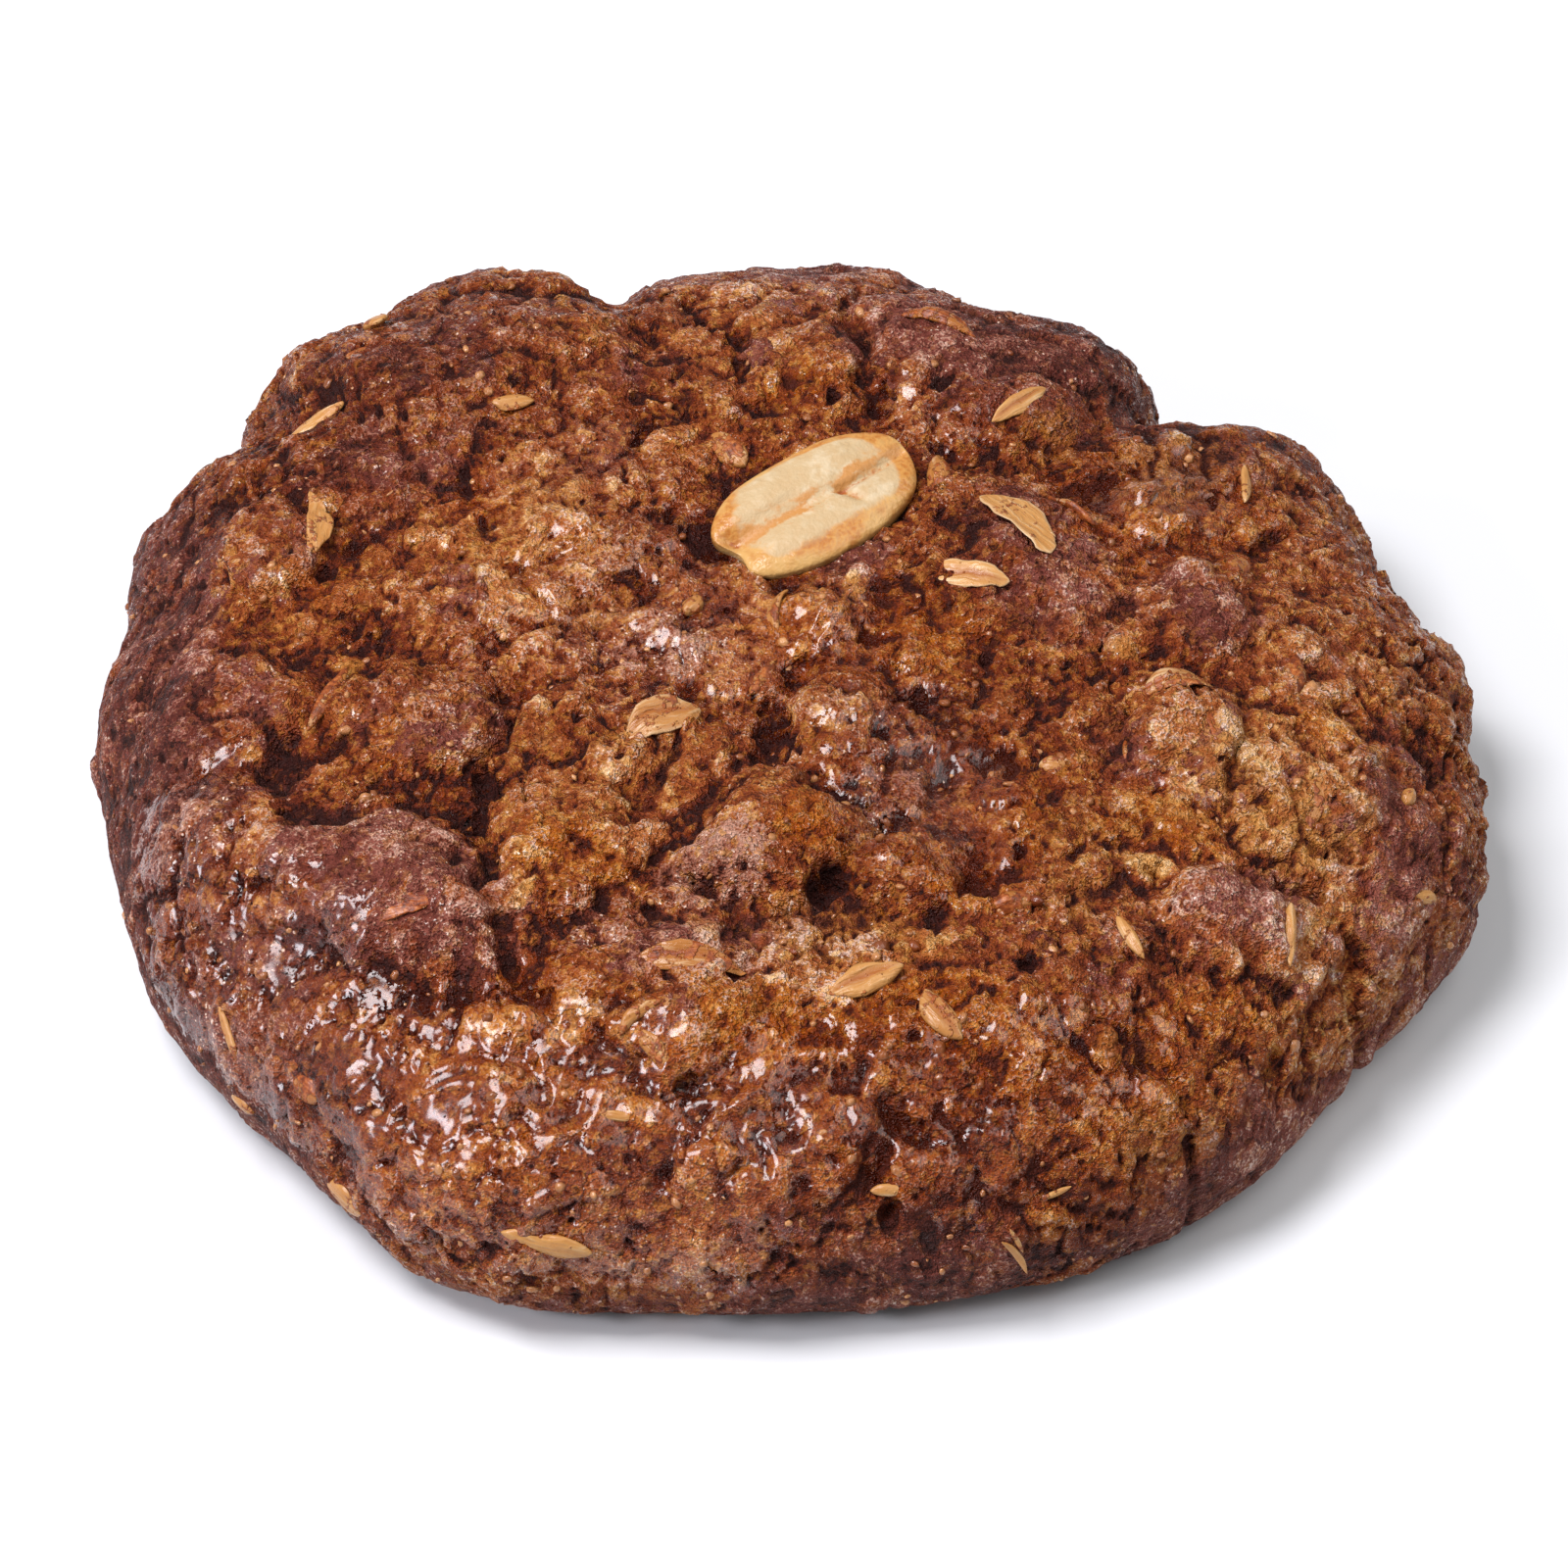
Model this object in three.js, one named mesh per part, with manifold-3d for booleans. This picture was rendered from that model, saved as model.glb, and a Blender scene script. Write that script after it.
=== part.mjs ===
// A peanut cookie: a round, thick cookie of oats, syrup and ground nuts, baked until its top broke into
// lumps, with one half of a roasted peanut pressed into the top.
// Millimetres, +Z up. The cookie lies on the plane z = 0, and the middle of its box is over the origin.

import * as THREE from 'three';
import { mergeVertices } from 'three/addons/utils/BufferGeometryUtils.js';
import Module from 'manifold-3d';

const wasm = await Module();
wasm.setup();

// ---- Driving dimensions of the cookie ----
const RADIUS = 43;              // mean radius at the widest level
const CROWN = 16.6;             // height of the top before its rises and lumps
const WAIST = 5.5;              // height of the widest level
const HEEL = 4;                 // how far the edge of the flat underside lies inside the widest level
const BROW = 5.5;               // how square the shoulder is, as a power: 2 would be an ellipse
const SET_LEVEL = 3;            // below this height the lumps fade out, so that the underside stays flat
const OVERLAP_SHARE = 0.25;     // how much of the lower of two lumps shows where they overlap
const GRID = 60;                // cells along one side of the grid that covers the top and the side
const GRID_TURN = 30;           // degrees that the grid is turned, so its corners miss the rim's nicks
const MIDDLE = [-0.4, 0.8];     // middle of the outline's box, from the point that the angles turn about

// ---- Driving dimensions of the peanut half ----
const NUT_LENGTH = 14.4;
const NUT_WIDTH = 8.6;
const NUT_BACK = 3.4;           // depth of the round back, below the rim
const NUT_FACE = 0.9;           // rise of the inner face, above the rim
const NUT_GROOVE = 0.5;         // depth of the groove between the two lobes of the face
const NUT_GROOVE_WIDTH = 0.7;
const NUT_DENT = 0.8;           // depth of the notch where the germ sat
const NUT_PLACE = [1.5, 12.6, 17.5];
const NUT_TURN = 36;            // degrees from +X
const NUT_TILT = 10;            // degrees, towards -Y
const NUT_SIDES = 36;
const NUT_RINGS = 14;
const GAP = 0.3;                // clearance between the peanut and the seat that it sits in

// Bulges and dents of the outline: the angle in degrees, the height and the half width in degrees.
const OUTLINE = [
  { at: 8, height: 0.8, spread: 5 },
  { at: 23, height: -1.4, spread: 8 },
  { at: 36, height: 0.6, spread: 5 },
  { at: 48, height: -7.2, spread: 4.5 },
  { at: 67, height: -2.2, spread: 11 },
  { at: 90, height: 0.9, spread: 12 },
  { at: 108, height: -2.6, spread: 3.5 },
  { at: 118, height: 5.0, spread: 8 },
  { at: 135, height: 4.6, spread: 12 },
  { at: 144, height: -2.2, spread: 3.5 },
  { at: 155, height: 3.0, spread: 9 },
  { at: 175, height: 1.5, spread: 10 },
  { at: 208, height: 0.8, spread: 9 },
  { at: 243, height: 2.6, spread: 12 },
  { at: 278, height: -0.8, spread: 9 },
  { at: 325, height: -0.9, spread: 12 },
  { at: 346, height: 1.6, spread: 10 },
];

// Broad rises of the whole top: the middle, the half width and the height.
const RISES = [
  { at: [4, 33], half: 17, height: 1.6 },
  { at: [-25, 28], half: 15, height: 1.8 },
  { at: [34, 20], half: 9, height: 0.8 },
];

// Lumps of the top: the middle, the two half lengths, the turn of the first in degrees, and the height.
const LUMPS = [
  { at: [-23, 26], half: [14, 8], turn: 35, height: 1.0 },
  { at: [15, 26], half: [13, 9], turn: -25, height: 1.8 },
  { at: [2.4, 26], half: [3, 6], turn: 0, height: 1.0 },
  { at: [-34, 10], half: [5, 7], turn: -15, height: 1.6 },
  { at: [-30, 18], half: [8, 5], turn: 20, height: 0.8 },
  { at: [-36, -3], half: [6, 8], turn: 10, height: 1.0 },
  { at: [-35, -13], half: [8, 5], turn: -55, height: 1.2 },
  { at: [-24, -19], half: [12, 6.5], turn: -38, height: 2.2 },
  { at: [-23.5, -6], half: [7, 5], turn: -15, height: 1.4 },
  { at: [-13, -17], half: [6, 5.5], turn: 0, height: 1.4 },
  { at: [-1.3, -16.5], half: [6, 6], turn: 0, height: 2.0 },
  { at: [6.8, -19], half: [3.5, 4], turn: 0, height: 1.2 },
  { at: [-7, -29], half: [8, 5.5], turn: 0, height: 1.4 },
  { at: [8, -29], half: [7, 6], turn: -20, height: 1.0 },
  { at: [14.5, 9], half: [7, 9], turn: 30, height: 1.8 },
  { at: [24.5, 3.5], half: [5.5, 5], turn: 0, height: 1.2 },
  { at: [24.5, -6], half: [4, 5.5], turn: 30, height: 1.4 },
  { at: [31.5, -9], half: [5, 6], turn: 0, height: 1.2 },
  { at: [23.5, 14], half: [4, 3.5], turn: 0, height: 1.2 },
  { at: [27, -21.5], half: [4.5, 3.5], turn: 0, height: 1.2 },
  { at: [4.5, -6], half: [4.5, 5.5], turn: 0, height: 1.0 },
  { at: [1.8, 2.6], half: [3.6, 4], turn: 0, height: 1.2 },
  { at: [-22, 4], half: [5.5, 4.5], turn: 0, height: 0.9 },
  { at: [-15, 13], half: [8, 9], turn: 0, height: 0.7 },
];

// Furrows between the lumps: the points of their course, the depth and the half width.
const FURROWS = [
  { course: [[-17.5, -1], [-18.5, -10], [-19.5, -14], [-18.5, -20], [-15.5, -28]], depth: 2, half: 2.6 },
  { course: [[-28.5, -1], [-31.6, -6], [-31, -11], [-28, -14], [-20, -17]], depth: 1.6, half: 2.5 },
  { course: [[-0.5, -2], [-1, -9], [4.5, -13], [4.5, -18], [1, -22.5], [-2.5, -27]], depth: 1.4, half: 2.5 },
  { course: [[9.5, -9], [11.2, -18]], depth: 2, half: 2.8 },
  { course: [[4.6, 30], [4.8, 22]], depth: 1.4, half: 2.4 },
  { course: [[-4.4, 29.5], [-4, 26]], depth: 1.6, half: 2.5 },
  { course: [[34, 30], [25, 22.5], [18.5, 23]], depth: 2.2, half: 2.8 },
  { course: [[-37, 9.5], [-33, 4.6], [-30.5, 7]], depth: 1.2, half: 2.4 },
  { course: [[21, -15.5], [23.5, -19.5]], depth: 1.4, half: 2.5 },
  { course: [[30, -16.5], [34, -22]], depth: 1.5, half: 2.5 },
  { course: [[4, -32.5], [8.5, -38.5]], depth: 1.3, half: 2.4 },
];

const degrees = THREE.MathUtils.degToRad;

// Height of a bell curve: 1 in its middle, and 1/e at its half width.
function bell(distance, half) {
  return Math.exp(-((distance / half) ** 2));
}

// ---- The cookie's smooth shape ----

// The meridian, from the crown over the shoulder and the waist to the edge of the underside.
class Meridian extends THREE.Curve {
  getPoint(t, target = new THREE.Vector2()) {
    const waistShare = 0.75;
    if (t < waistShare) {
      const across = t / waistShare;
      const rise = Math.sqrt(Math.max(0, 1 - across ** BROW));
      return target.set(RADIUS * across, WAIST + (CROWN - WAIST) * rise);
    }
    const turn = (Math.PI / 2) * (t - waistShare) / (1 - waistShare);
    return target.set(RADIUS - HEEL * (1 - Math.cos(turn)), WAIST * (1 - Math.sin(turn)));
  }
}

const meridian = new Meridian();
meridian.arcLengthDivisions = 800;

// Radius of the outline at an angle in degrees: the mean radius with every bulge and dent.
function outlineRadius(angle) {
  let radius = RADIUS;
  for (const { at, height, spread } of OUTLINE) {
    const away = THREE.MathUtils.euclideanModulo(angle - at + 180, 360) - 180;
    radius += height * bell(away, spread);
  }
  return radius;
}

// ---- The cookie's lumps and furrows ----

function lumpHeight(x, y, { at, half, turn, height }) {
  const cos = Math.cos(degrees(turn));
  const sin = Math.sin(degrees(turn));
  const along = ((x - at[0]) * cos + (y - at[1]) * sin) / half[0];
  const across = ((y - at[1]) * cos - (x - at[0]) * sin) / half[1];
  const away = along ** 2 + across ** 2;
  return away < 1 ? height * (1 - away ** 2) : 0;
}

function distanceToCourse(x, y, course) {
  const here = new THREE.Vector3(x, y, 0);
  const nearest = new THREE.Vector3();
  const stretch = new THREE.Line3();
  let least = Infinity;
  for (let i = 1; i < course.length; i += 1) {
    stretch.start.set(course[i - 1][0], course[i - 1][1], 0);
    stretch.end.set(course[i][0], course[i][1], 0);
    stretch.closestPointToPoint(here, true, nearest);
    least = Math.min(least, nearest.distanceTo(here));
  }
  return least;
}

// How far the skin stands out of the smooth shape over a point of the plan.
function relief(x, y) {
  let out = 0;
  for (const lump of LUMPS) {
    const height = lumpHeight(x, y, lump);
    out = Math.max(out, height) + OVERLAP_SHARE * Math.min(out, height);
  }
  for (const { at, half, height } of RISES) {
    out += height * bell(Math.hypot(x - at[0], y - at[1]), half);
  }
  for (const { course, depth, half } of FURROWS) {
    out -= depth * bell(distanceToCourse(x, y, course), half);
  }
  return out;
}

// A point of the skin: share runs from 0 at the crown to 1 at the edge of the underside.
function skinPoint(share, angle) {
  const station = meridian.getPointAt(share);
  const tangent = meridian.getTangentAt(Math.min(Math.max(share, 0.001), 0.999));
  const scale = outlineRadius(THREE.MathUtils.radToDeg(angle)) / RADIUS;
  const x = station.x * scale * Math.cos(angle);
  const y = station.x * scale * Math.sin(angle);
  const rise = relief(x, y) * THREE.MathUtils.smoothstep(station.y, 0, SET_LEVEL);
  const outward = -tangent.y * rise;
  return new THREE.Vector3(
    x + outward * Math.cos(angle) - MIDDLE[0],
    y + outward * Math.sin(angle) - MIDDLE[1],
    share < 1 ? station.y + tangent.x * rise : 0,
  );
}

// The skin is a square grid drawn onto a disc, which has no pole, and each of its cells is split along its
// shorter diagonal, so that the furrows stay clean. A flat fan of triangles closes the underside.
function cookieGeometry() {
  const points = [];
  const triangles = [];
  const rows = GRID + 1;
  for (let row = 0; row < rows; row += 1) {
    for (let column = 0; column < rows; column += 1) {
      const u = 2 * column / GRID - 1;
      const v = 2 * row / GRID - 1;
      const x = u * Math.sqrt(1 - v * v / 2);
      const y = v * Math.sqrt(1 - u * u / 2);
      points.push(skinPoint(Math.min(1, Math.hypot(x, y)), Math.atan2(y, x) + degrees(GRID_TURN)));
    }
  }
  for (let row = 0; row < GRID; row += 1) {
    for (let column = 0; column < GRID; column += 1) {
      const a = row * rows + column;
      const b = a + 1;
      const c = b + rows;
      const d = a + rows;
      if (points[a].distanceTo(points[c]) < points[b].distanceTo(points[d])) {
        triangles.push(a, b, c, a, c, d);
      } else {
        triangles.push(a, b, d, b, c, d);
      }
    }
  }
  const rim = [];
  for (let i = 0; i < GRID; i += 1) rim.push(i);
  for (let i = 0; i < GRID; i += 1) rim.push(i * rows + GRID);
  for (let i = GRID; i > 0; i -= 1) rim.push(GRID * rows + i);
  for (let i = GRID; i > 0; i -= 1) rim.push(i * rows);
  const centre = points.length;
  points.push(new THREE.Vector3(0, 0, 0));
  rim.forEach((corner, i) => triangles.push(centre, rim[(i + 1) % rim.length], corner));
  return indexedGeometry(points.flatMap((point) => point.toArray()), triangles);
}

// ---- The peanut half ----

// A point of the peanut half, in its own frame: side turns round it, and depth runs from the middle of the
// inner face, 0, over the rim, 0.5, to the middle of the round back, 1.
function nutPoint(side, depth) {
  const angle = 2 * Math.PI * side;
  const blunt = 0.82;
  const cos = Math.cos(angle);
  const sin = Math.sin(angle);
  const fromNotch = THREE.MathUtils.radToDeg(angle) - 180;
  const reach = 1 - (2 * NUT_DENT / NUT_LENGTH) * bell(fromNotch, 16);
  const across = Math.sin(Math.PI * depth) * reach;
  const x = (NUT_LENGTH / 2) * Math.sign(cos) * Math.abs(cos) ** blunt * across;
  const y = (NUT_WIDTH / 2) * Math.sign(sin) * Math.abs(sin) ** blunt * across;
  if (depth > 0.5) {
    return new THREE.Vector3(x, y, -NUT_BACK * Math.abs(Math.cos(Math.PI * depth)) ** 0.9);
  }
  const inFace = Math.max(0, Math.cos(Math.PI * depth));
  const groove = NUT_GROOVE * bell(y, NUT_GROOVE_WIDTH) * Math.min(1, 2 * inFace);
  return new THREE.Vector3(x, y, NUT_FACE * inFace ** 0.6 - groove);
}

function nutGeometry(grown) {
  const positions = [0, 0, NUT_FACE - NUT_GROOVE];
  for (let ring = 1; ring < NUT_RINGS; ring += 1) {
    for (let i = 0; i < NUT_SIDES; i += 1) {
      positions.push(...nutPoint(i / NUT_SIDES, ring / NUT_RINGS));
    }
  }
  positions.push(0, 0, -NUT_BACK);
  const triangles = [];
  const last = positions.length / 3 - 1;
  for (let i = 0; i < NUT_SIDES; i += 1) {
    const next = (i + 1) % NUT_SIDES;
    triangles.push(0, 1 + i, 1 + next);
    for (let ring = 0; ring < NUT_RINGS - 2; ring += 1) {
      const upper = 1 + ring * NUT_SIDES;
      const lower = upper + NUT_SIDES;
      triangles.push(upper + i, lower + i, lower + next, upper + i, lower + next, upper + next);
    }
    triangles.push(last, last - NUT_SIDES + next, last - NUT_SIDES + i);
  }
  const geometry = indexedGeometry(positions, triangles);
  geometry.scale(
    1 + 2 * grown / NUT_LENGTH,
    1 + 2 * grown / NUT_WIDTH,
    1 + grown / NUT_BACK,
  );
  geometry.rotateZ(degrees(NUT_TURN));
  geometry.rotateX(degrees(NUT_TILT));
  geometry.translate(NUT_PLACE[0] - MIDDLE[0], NUT_PLACE[1] - MIDDLE[1], NUT_PLACE[2]);
  return geometry;
}

// ---- Solids ----

function indexedGeometry(positions, triangles) {
  const geometry = new THREE.BufferGeometry();
  geometry.setAttribute('position', new THREE.Float32BufferAttribute(positions, 3));
  geometry.setIndex(triangles);
  return mergeVertices(geometry, 1e-4);
}

function toSolid(geometry) {
  return new wasm.Manifold(new wasm.Mesh({
    numProp: 3,
    vertProperties: new Float32Array(geometry.attributes.position.array),
    triVerts: new Uint32Array(geometry.index.array),
  }));
}

function fromSolid(solid) {
  const mesh = solid.getMesh();
  const geometry = new THREE.BufferGeometry();
  geometry.setAttribute('position', new THREE.BufferAttribute(mesh.vertProperties, 3));
  geometry.setIndex(new THREE.BufferAttribute(mesh.triVerts, 1));
  return geometry;
}

function pieceMesh(name, geometry, colour, roughness) {
  geometry.computeVertexNormals();
  const material = new THREE.MeshStandardMaterial({ color: colour, roughness, metalness: 0 });
  const mesh = new THREE.Mesh(geometry, material);
  mesh.name = name;
  return mesh;
}

// The seat is cut with the peanut grown by the gap, so the two never touch.
const body = toSolid(cookieGeometry()).subtract(toSolid(nutGeometry(GAP)));

const group = new THREE.Group();
group.add(pieceMesh('cookie_body', fromSolid(body), 0x7a3b22, 0.55));
group.add(pieceMesh('peanut_half', nutGeometry(0), 0xe6c48a, 0.5));

export default group;
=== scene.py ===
import itertools
import math

import bpy
import numpy as np
from bpy.props import FloatProperty, FloatVectorProperty, IntProperty, PointerProperty
from mathutils import Matrix, Vector


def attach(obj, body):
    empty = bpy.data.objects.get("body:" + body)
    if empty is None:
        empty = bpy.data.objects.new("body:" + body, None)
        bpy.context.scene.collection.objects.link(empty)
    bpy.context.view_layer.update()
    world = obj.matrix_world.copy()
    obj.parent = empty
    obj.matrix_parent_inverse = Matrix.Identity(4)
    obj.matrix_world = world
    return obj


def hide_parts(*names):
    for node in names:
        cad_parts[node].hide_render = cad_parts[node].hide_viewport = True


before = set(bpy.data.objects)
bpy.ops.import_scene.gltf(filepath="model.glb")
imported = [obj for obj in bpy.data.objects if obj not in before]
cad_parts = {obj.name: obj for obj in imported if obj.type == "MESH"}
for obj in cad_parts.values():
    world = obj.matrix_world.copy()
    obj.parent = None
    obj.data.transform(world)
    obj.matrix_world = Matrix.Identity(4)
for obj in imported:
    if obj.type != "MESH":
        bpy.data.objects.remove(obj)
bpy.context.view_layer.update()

bl_info = {
    "name": "Peanut cookie",
    "version": (1, 0, 0),
    "blender": (4, 5, 0),
    "location": "3D View > Sidebar > Cookie",
    "description": "The looks of a baked peanut cookie, built round its solid",
    "category": "Object",
}

# Lengths in this script are millimetres until a mesh is made, and MM turns them into metres.
# Plan positions are x to the right and y to the back, from the point that the outline's angles turn about.
MM = 0.001
MIDDLE = np.array([-0.4, 0.8, 0.0])  # middle of the outline's box, which the solid puts over the origin

# ---- The solid's shape ----
RADIUS = 43.0  # mean radius at the widest level
CROWN = 16.6  # height of the top before its rises and lumps
WAIST = 5.5  # height of the widest level
HEEL = 4.0  # how far the underside's edge lies inside the widest level
BROW = 5.5  # how square the shoulder is
WAIST_SHARE = 0.75  # share of the stations over the top, down to the waist
SET_LEVEL, CRUMB_LEVEL = 3.0, 2.2  # lumps and crumb fade out below these heights
OVERLAP_SHARE = 0.25  # how much of the lower of two lumps shows where they overlap
GRID_TURN = math.radians(30)  # of the skin's grid against the plan
EDGE_SHARE = 0.9999  # share of the way down from which a point lies on the underside's edge
SLOPE_STEP, NORMAL_STEP = 1e-3, 2e-3  # of the share and of the square, for slopes and normals
# The baked skin against the numbers of the lists below.
LUMP_SHARE = 0.72  # of each lump's height
FURROW_SHARE, FURROW_NARROWING = 0.22, 0.55  # of each furrow's depth and width
CHUNK_SHARE = 0.5  # of each chunk's height
CRACK_SHARE, CRACK_NARROWING = 0.6, 0.85  # of each crack's depth and width
HOLE_SHARE, HOLE_NARROWING = 0.55, 0.6  # of each hole's depth and width

# Bulges and dents of the outline: angle, height and half width in degrees.
OUTLINE = (
    (8, 0.8, 5), (23, -1.4, 8), (36, 0.6, 5), (48, -7.2, 4.5), (67, -2.2, 11), (90, 0.9, 12),
    (108, -2.6, 3.5), (118, 5, 8), (135, 4.6, 12), (144, -2.2, 3.5), (155, 3, 9), (175, 1.5, 10),
    (208, 0.8, 9), (243, 2.6, 12), (278, -0.8, 9), (325, -0.9, 12), (346, 1.6, 10),
)
# Broad rises of the whole top: x, y, half width, height.
RISES = (
    (4, 33, 17, 1.6), (-25, 28, 15, 1.8), (34, 20, 9, 0.8),
)
# Lumps of the solid: x, y, the two half lengths, the turn of the first in degrees, height.
LUMPS = (
    (-23, 26, 14, 8, 35, 1), (15, 26, 13, 9, -25, 1.8), (2.4, 26, 3, 6, 0, 1), (-34, 10, 5, 7, -15, 1.6),
    (-30, 18, 8, 5, 20, 0.8), (-36, -3, 6, 8, 10, 1), (-35, -13, 8, 5, -55, 1.2),
    (-24, -19, 12, 6.5, -38, 2.2), (-23.5, -6, 7, 5, -15, 1.4), (-13, -17, 6, 5.5, 0, 1.4),
    (-1.3, -16.5, 6, 6, 0, 2), (6.8, -19, 3.5, 4, 0, 1.2), (-7, -29, 8, 5.5, 0, 1.4),
    (8, -29, 7, 6, -20, 1), (14.5, 9, 7, 9, 30, 1.8), (24.5, 3.5, 5.5, 5, 0, 1.2),
    (24.5, -6, 4, 5.5, 30, 1.4), (31.5, -9, 5, 6, 0, 1.2), (23.5, 14, 4, 3.5, 0, 1.2),
    (27, -21.5, 4.5, 3.5, 0, 1.2), (4.5, -6, 4.5, 5.5, 0, 1), (1.8, 2.6, 3.6, 4, 0, 1.2),
    (-22, 4, 5.5, 4.5, 0, 0.9), (-15, 13, 8, 9, 0, 0.7),
)
# Furrows of the solid: the course, depth, half width.
FURROWS = (
    (((-17.5, -1), (-18.5, -10), (-19.5, -14), (-18.5, -20), (-15.5, -28)), 2, 2.6),
    (((-28.5, -1), (-31.6, -6), (-31, -11), (-28, -14), (-20, -17)), 1.6, 2.5),
    (((-0.5, -2), (-1, -9), (4.5, -13), (4.5, -18), (1, -22.5), (-2.5, -27)), 1.4, 2.5),
    (((9.5, -9), (11.2, -18)), 2, 2.8),
    (((4.6, 30), (4.8, 22)), 1.4, 2.4),
    (((-4.4, 29.5), (-4, 26)), 1.6, 2.5),
    (((34, 30), (25, 22.5), (18.5, 23)), 2.2, 2.8),
    (((-37, 9.5), (-33, 4.6), (-30.5, 7)), 0.8, 2),
    (((21, -15.5), (23.5, -19.5)), 1.4, 2.5),
    (((30, -16.5), (34, -22)), 1.5, 2.5),
    (((4, -32.5), (8.5, -38.5)), 1.3, 2.4),
)

# ---- Finer shapes of the baked skin, which the solid is too coarse for ----
# Slabs and chunks: x, y, half lengths, turn, height, and how square their edge is (2 a dome, 6 a slab).
CHUNKS = (
    (-1.2, -16.8, 5.6, 5, 10, 1.5, 8), (1.8, 3, 2.4, 2.2, 0, 0.9, 4), (-3.5, 22.5, 3, 2.2, 10, 1, 3),
    (6.8, -17.6, 2.2, 1.9, 30, 1, 3), (25.5, 7.3, 3, 2.4, 0, 0.9, 3), (23, 10.8, 2.6, 2.4, 30, 0.9, 3),
    (23, 15, 2.4, 1.7, 10, 0.9, 4), (31.8, 2.1, 2.6, 2, 0, 0.8, 3), (31.5, -1, 1.4, 2.8, 0, 0.8, 3),
    (28.3, 8.3, 1.6, 1.4, 0, 0.7, 3), (19, 17.5, 2.4, 1.8, 20, 0.8, 4), (-33.4, 10, 3.6, 4.8, -10, 0.9, 5),
    (-26.6, 31, 1.6, 1.2, 0, 0.7, 3), (-21, 28.5, 1.9, 1.4, 0, 0.7, 3), (-7.7, 11.2, 3, 1.4, 15, 0.7, 3),
    (-13.7, 11.2, 2.8, 1.5, -10, 0.7, 3), (-7, -24.5, 3.4, 1.9, 0, 0.8, 3),
    (-5, -30.2, 3.4, 2.4, 0, 0.8, 3), (13.4, -21.5, 1.6, 1, 0, 0.7, 4), (3, -21.4, 2.8, 2.2, 0, 1, 3),
    (11, -21.7, 2.2, 1.6, 0, 0.6, 3), (-8.6, -6.2, 2.8, 1.8, -35, 0.8, 4), (3.6, -6, 2.8, 2.6, 0, 0.7, 5),
    (15.5, 8.5, 4.6, 7.4, 25, 0.7, 6), (25.3, 4, 3.4, 3.2, 0, 0.6, 5), (27.5, -21, 3.6, 2.8, 0, 0.8, 4),
    (-22.5, -6.5, 5.4, 3.2, -12, 0.8, 5), (-23.7, -19.6, 8.8, 4.6, -38, 0.7, 5),
    (-13.2, -17.2, 4.6, 4.2, 0, 0.7, 5), (9, 28.2, 3.2, 1.6, -12, 0.8, 4), (2.3, 26.3, 1.8, 4.4, 0, 0.6, 3),
    (20.5, -34, 3.4, 2.2, 10, 0.6, 3), (-18, 25.5, 4.4, 2.6, 20, 0.7, 4),
    (-29.5, 20.5, 3.2, 1.6, 20, 0.7, 3), (33.6, -9.6, 3, 3.8, 15, 0.6, 5),
    (24.6, -6.6, 2.8, 4.2, 25, 0.6, 5), (15, -27.6, 3.4, 2, 0, 0.7, 3), (-27.5, 25, 2.6, 2, 30, 0.6, 3),
    (17, 30, 4.5, 3, -30, 0.6, 4), (35, 12, 2.6, 3.4, 20, 0.7, 3), (30, 19, 3, 2.4, 30, 0.7, 3),
    (-16.5, 4.5, 2.4, 1.8, 20, 0.7, 3), (-11.2, -10, 2.8, 2, 0, 0.7, 3),
)
# Cracks: the course, depth, half width.
CRACKS = (
    (((-18.3, -6), (-18.3, -9.5), (-19.5, -14), (-18.5, -18.5), (-19, -20.5), (-16.8, -25), (-15, -29.5)),
     1.3, 0.7),
    (((-31.6, -6), (-31.5, -9), (-30.3, -12), (-28.4, -13.6), (-24.5, -13.3), (-21, -12.7)), 1, 0.7),
    (((4, -13), (5, -14.5), (4.6, -17.5), (2.6, -19.6), (3.2, -20.7), (2.2, -22), (0, -22.4)), 0.8, 0.5),
    (((-6.4, -19.8), (-4, -21.6), (-2.6, -23.5), (-2.2, -25), (-2.7, -27)), 1.1, 0.6),
    (((5, -15.3), (7.5, -16.8), (8.6, -18.8)), 0.8, 0.5),
    (((-0.3, -1), (-0.7, -5.5), (-1.4, -9)), 1.2, 0.8),
    (((-36.5, 9), (-33.6, 4.6), (-31.5, 2.6)), 0.8, 0.5),
    (((-29.5, 14), (-27.5, 11.3)), 0.9, 0.4),
    (((-35, 15.7), (-33, 17.7)), 0.9, 0.4),
    (((-24.5, 14.5), (-24, 12)), 0.8, 0.4),
    (((-20, -27), (-17.5, -29)), 1, 0.5),
    (((-14.3, -30), (-13, -32.3)), 1, 0.5),
    (((5, -34.5), (6, -35.7), (8, -38)), 1.2, 0.6),
    (((-15.8, -33), (-14.5, -35.3)), 1, 0.7),
    (((28.3, -5.5), (27.5, -9), (27, -14)), 0.9, 0.5),
    (((31.5, 12.3), (30.5, 9.5)), 1, 0.5),
    (((15.3, 3.3), (15, 2)), 1, 0.4),
    (((4.1, 34), (4.2, 31.9), (4.6, 26), (4.8, 21.5)), 1.1, 0.7),
    (((37.5, -2.2), (40, -5)), 1, 0.5),
    (((34.4, -20), (35.4, -24)), 1.1, 0.7),
    (((20.8, 3.5), (19.6, -3), (20.2, -8)), 0.8, 0.5),
    (((10.3, 16.5), (8.6, 22), (9.6, 25)), 0.7, 0.6),
    (((-10, 18), (-11, 24), (-9.5, 29)), 0.7, 0.5),
    (((-27, 2), (-25.5, 8), (-27.5, 11.3)), 0.7, 0.5),
    (((18, -30), (22, -32), (24, -36)), 0.7, 0.5),
)
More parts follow.
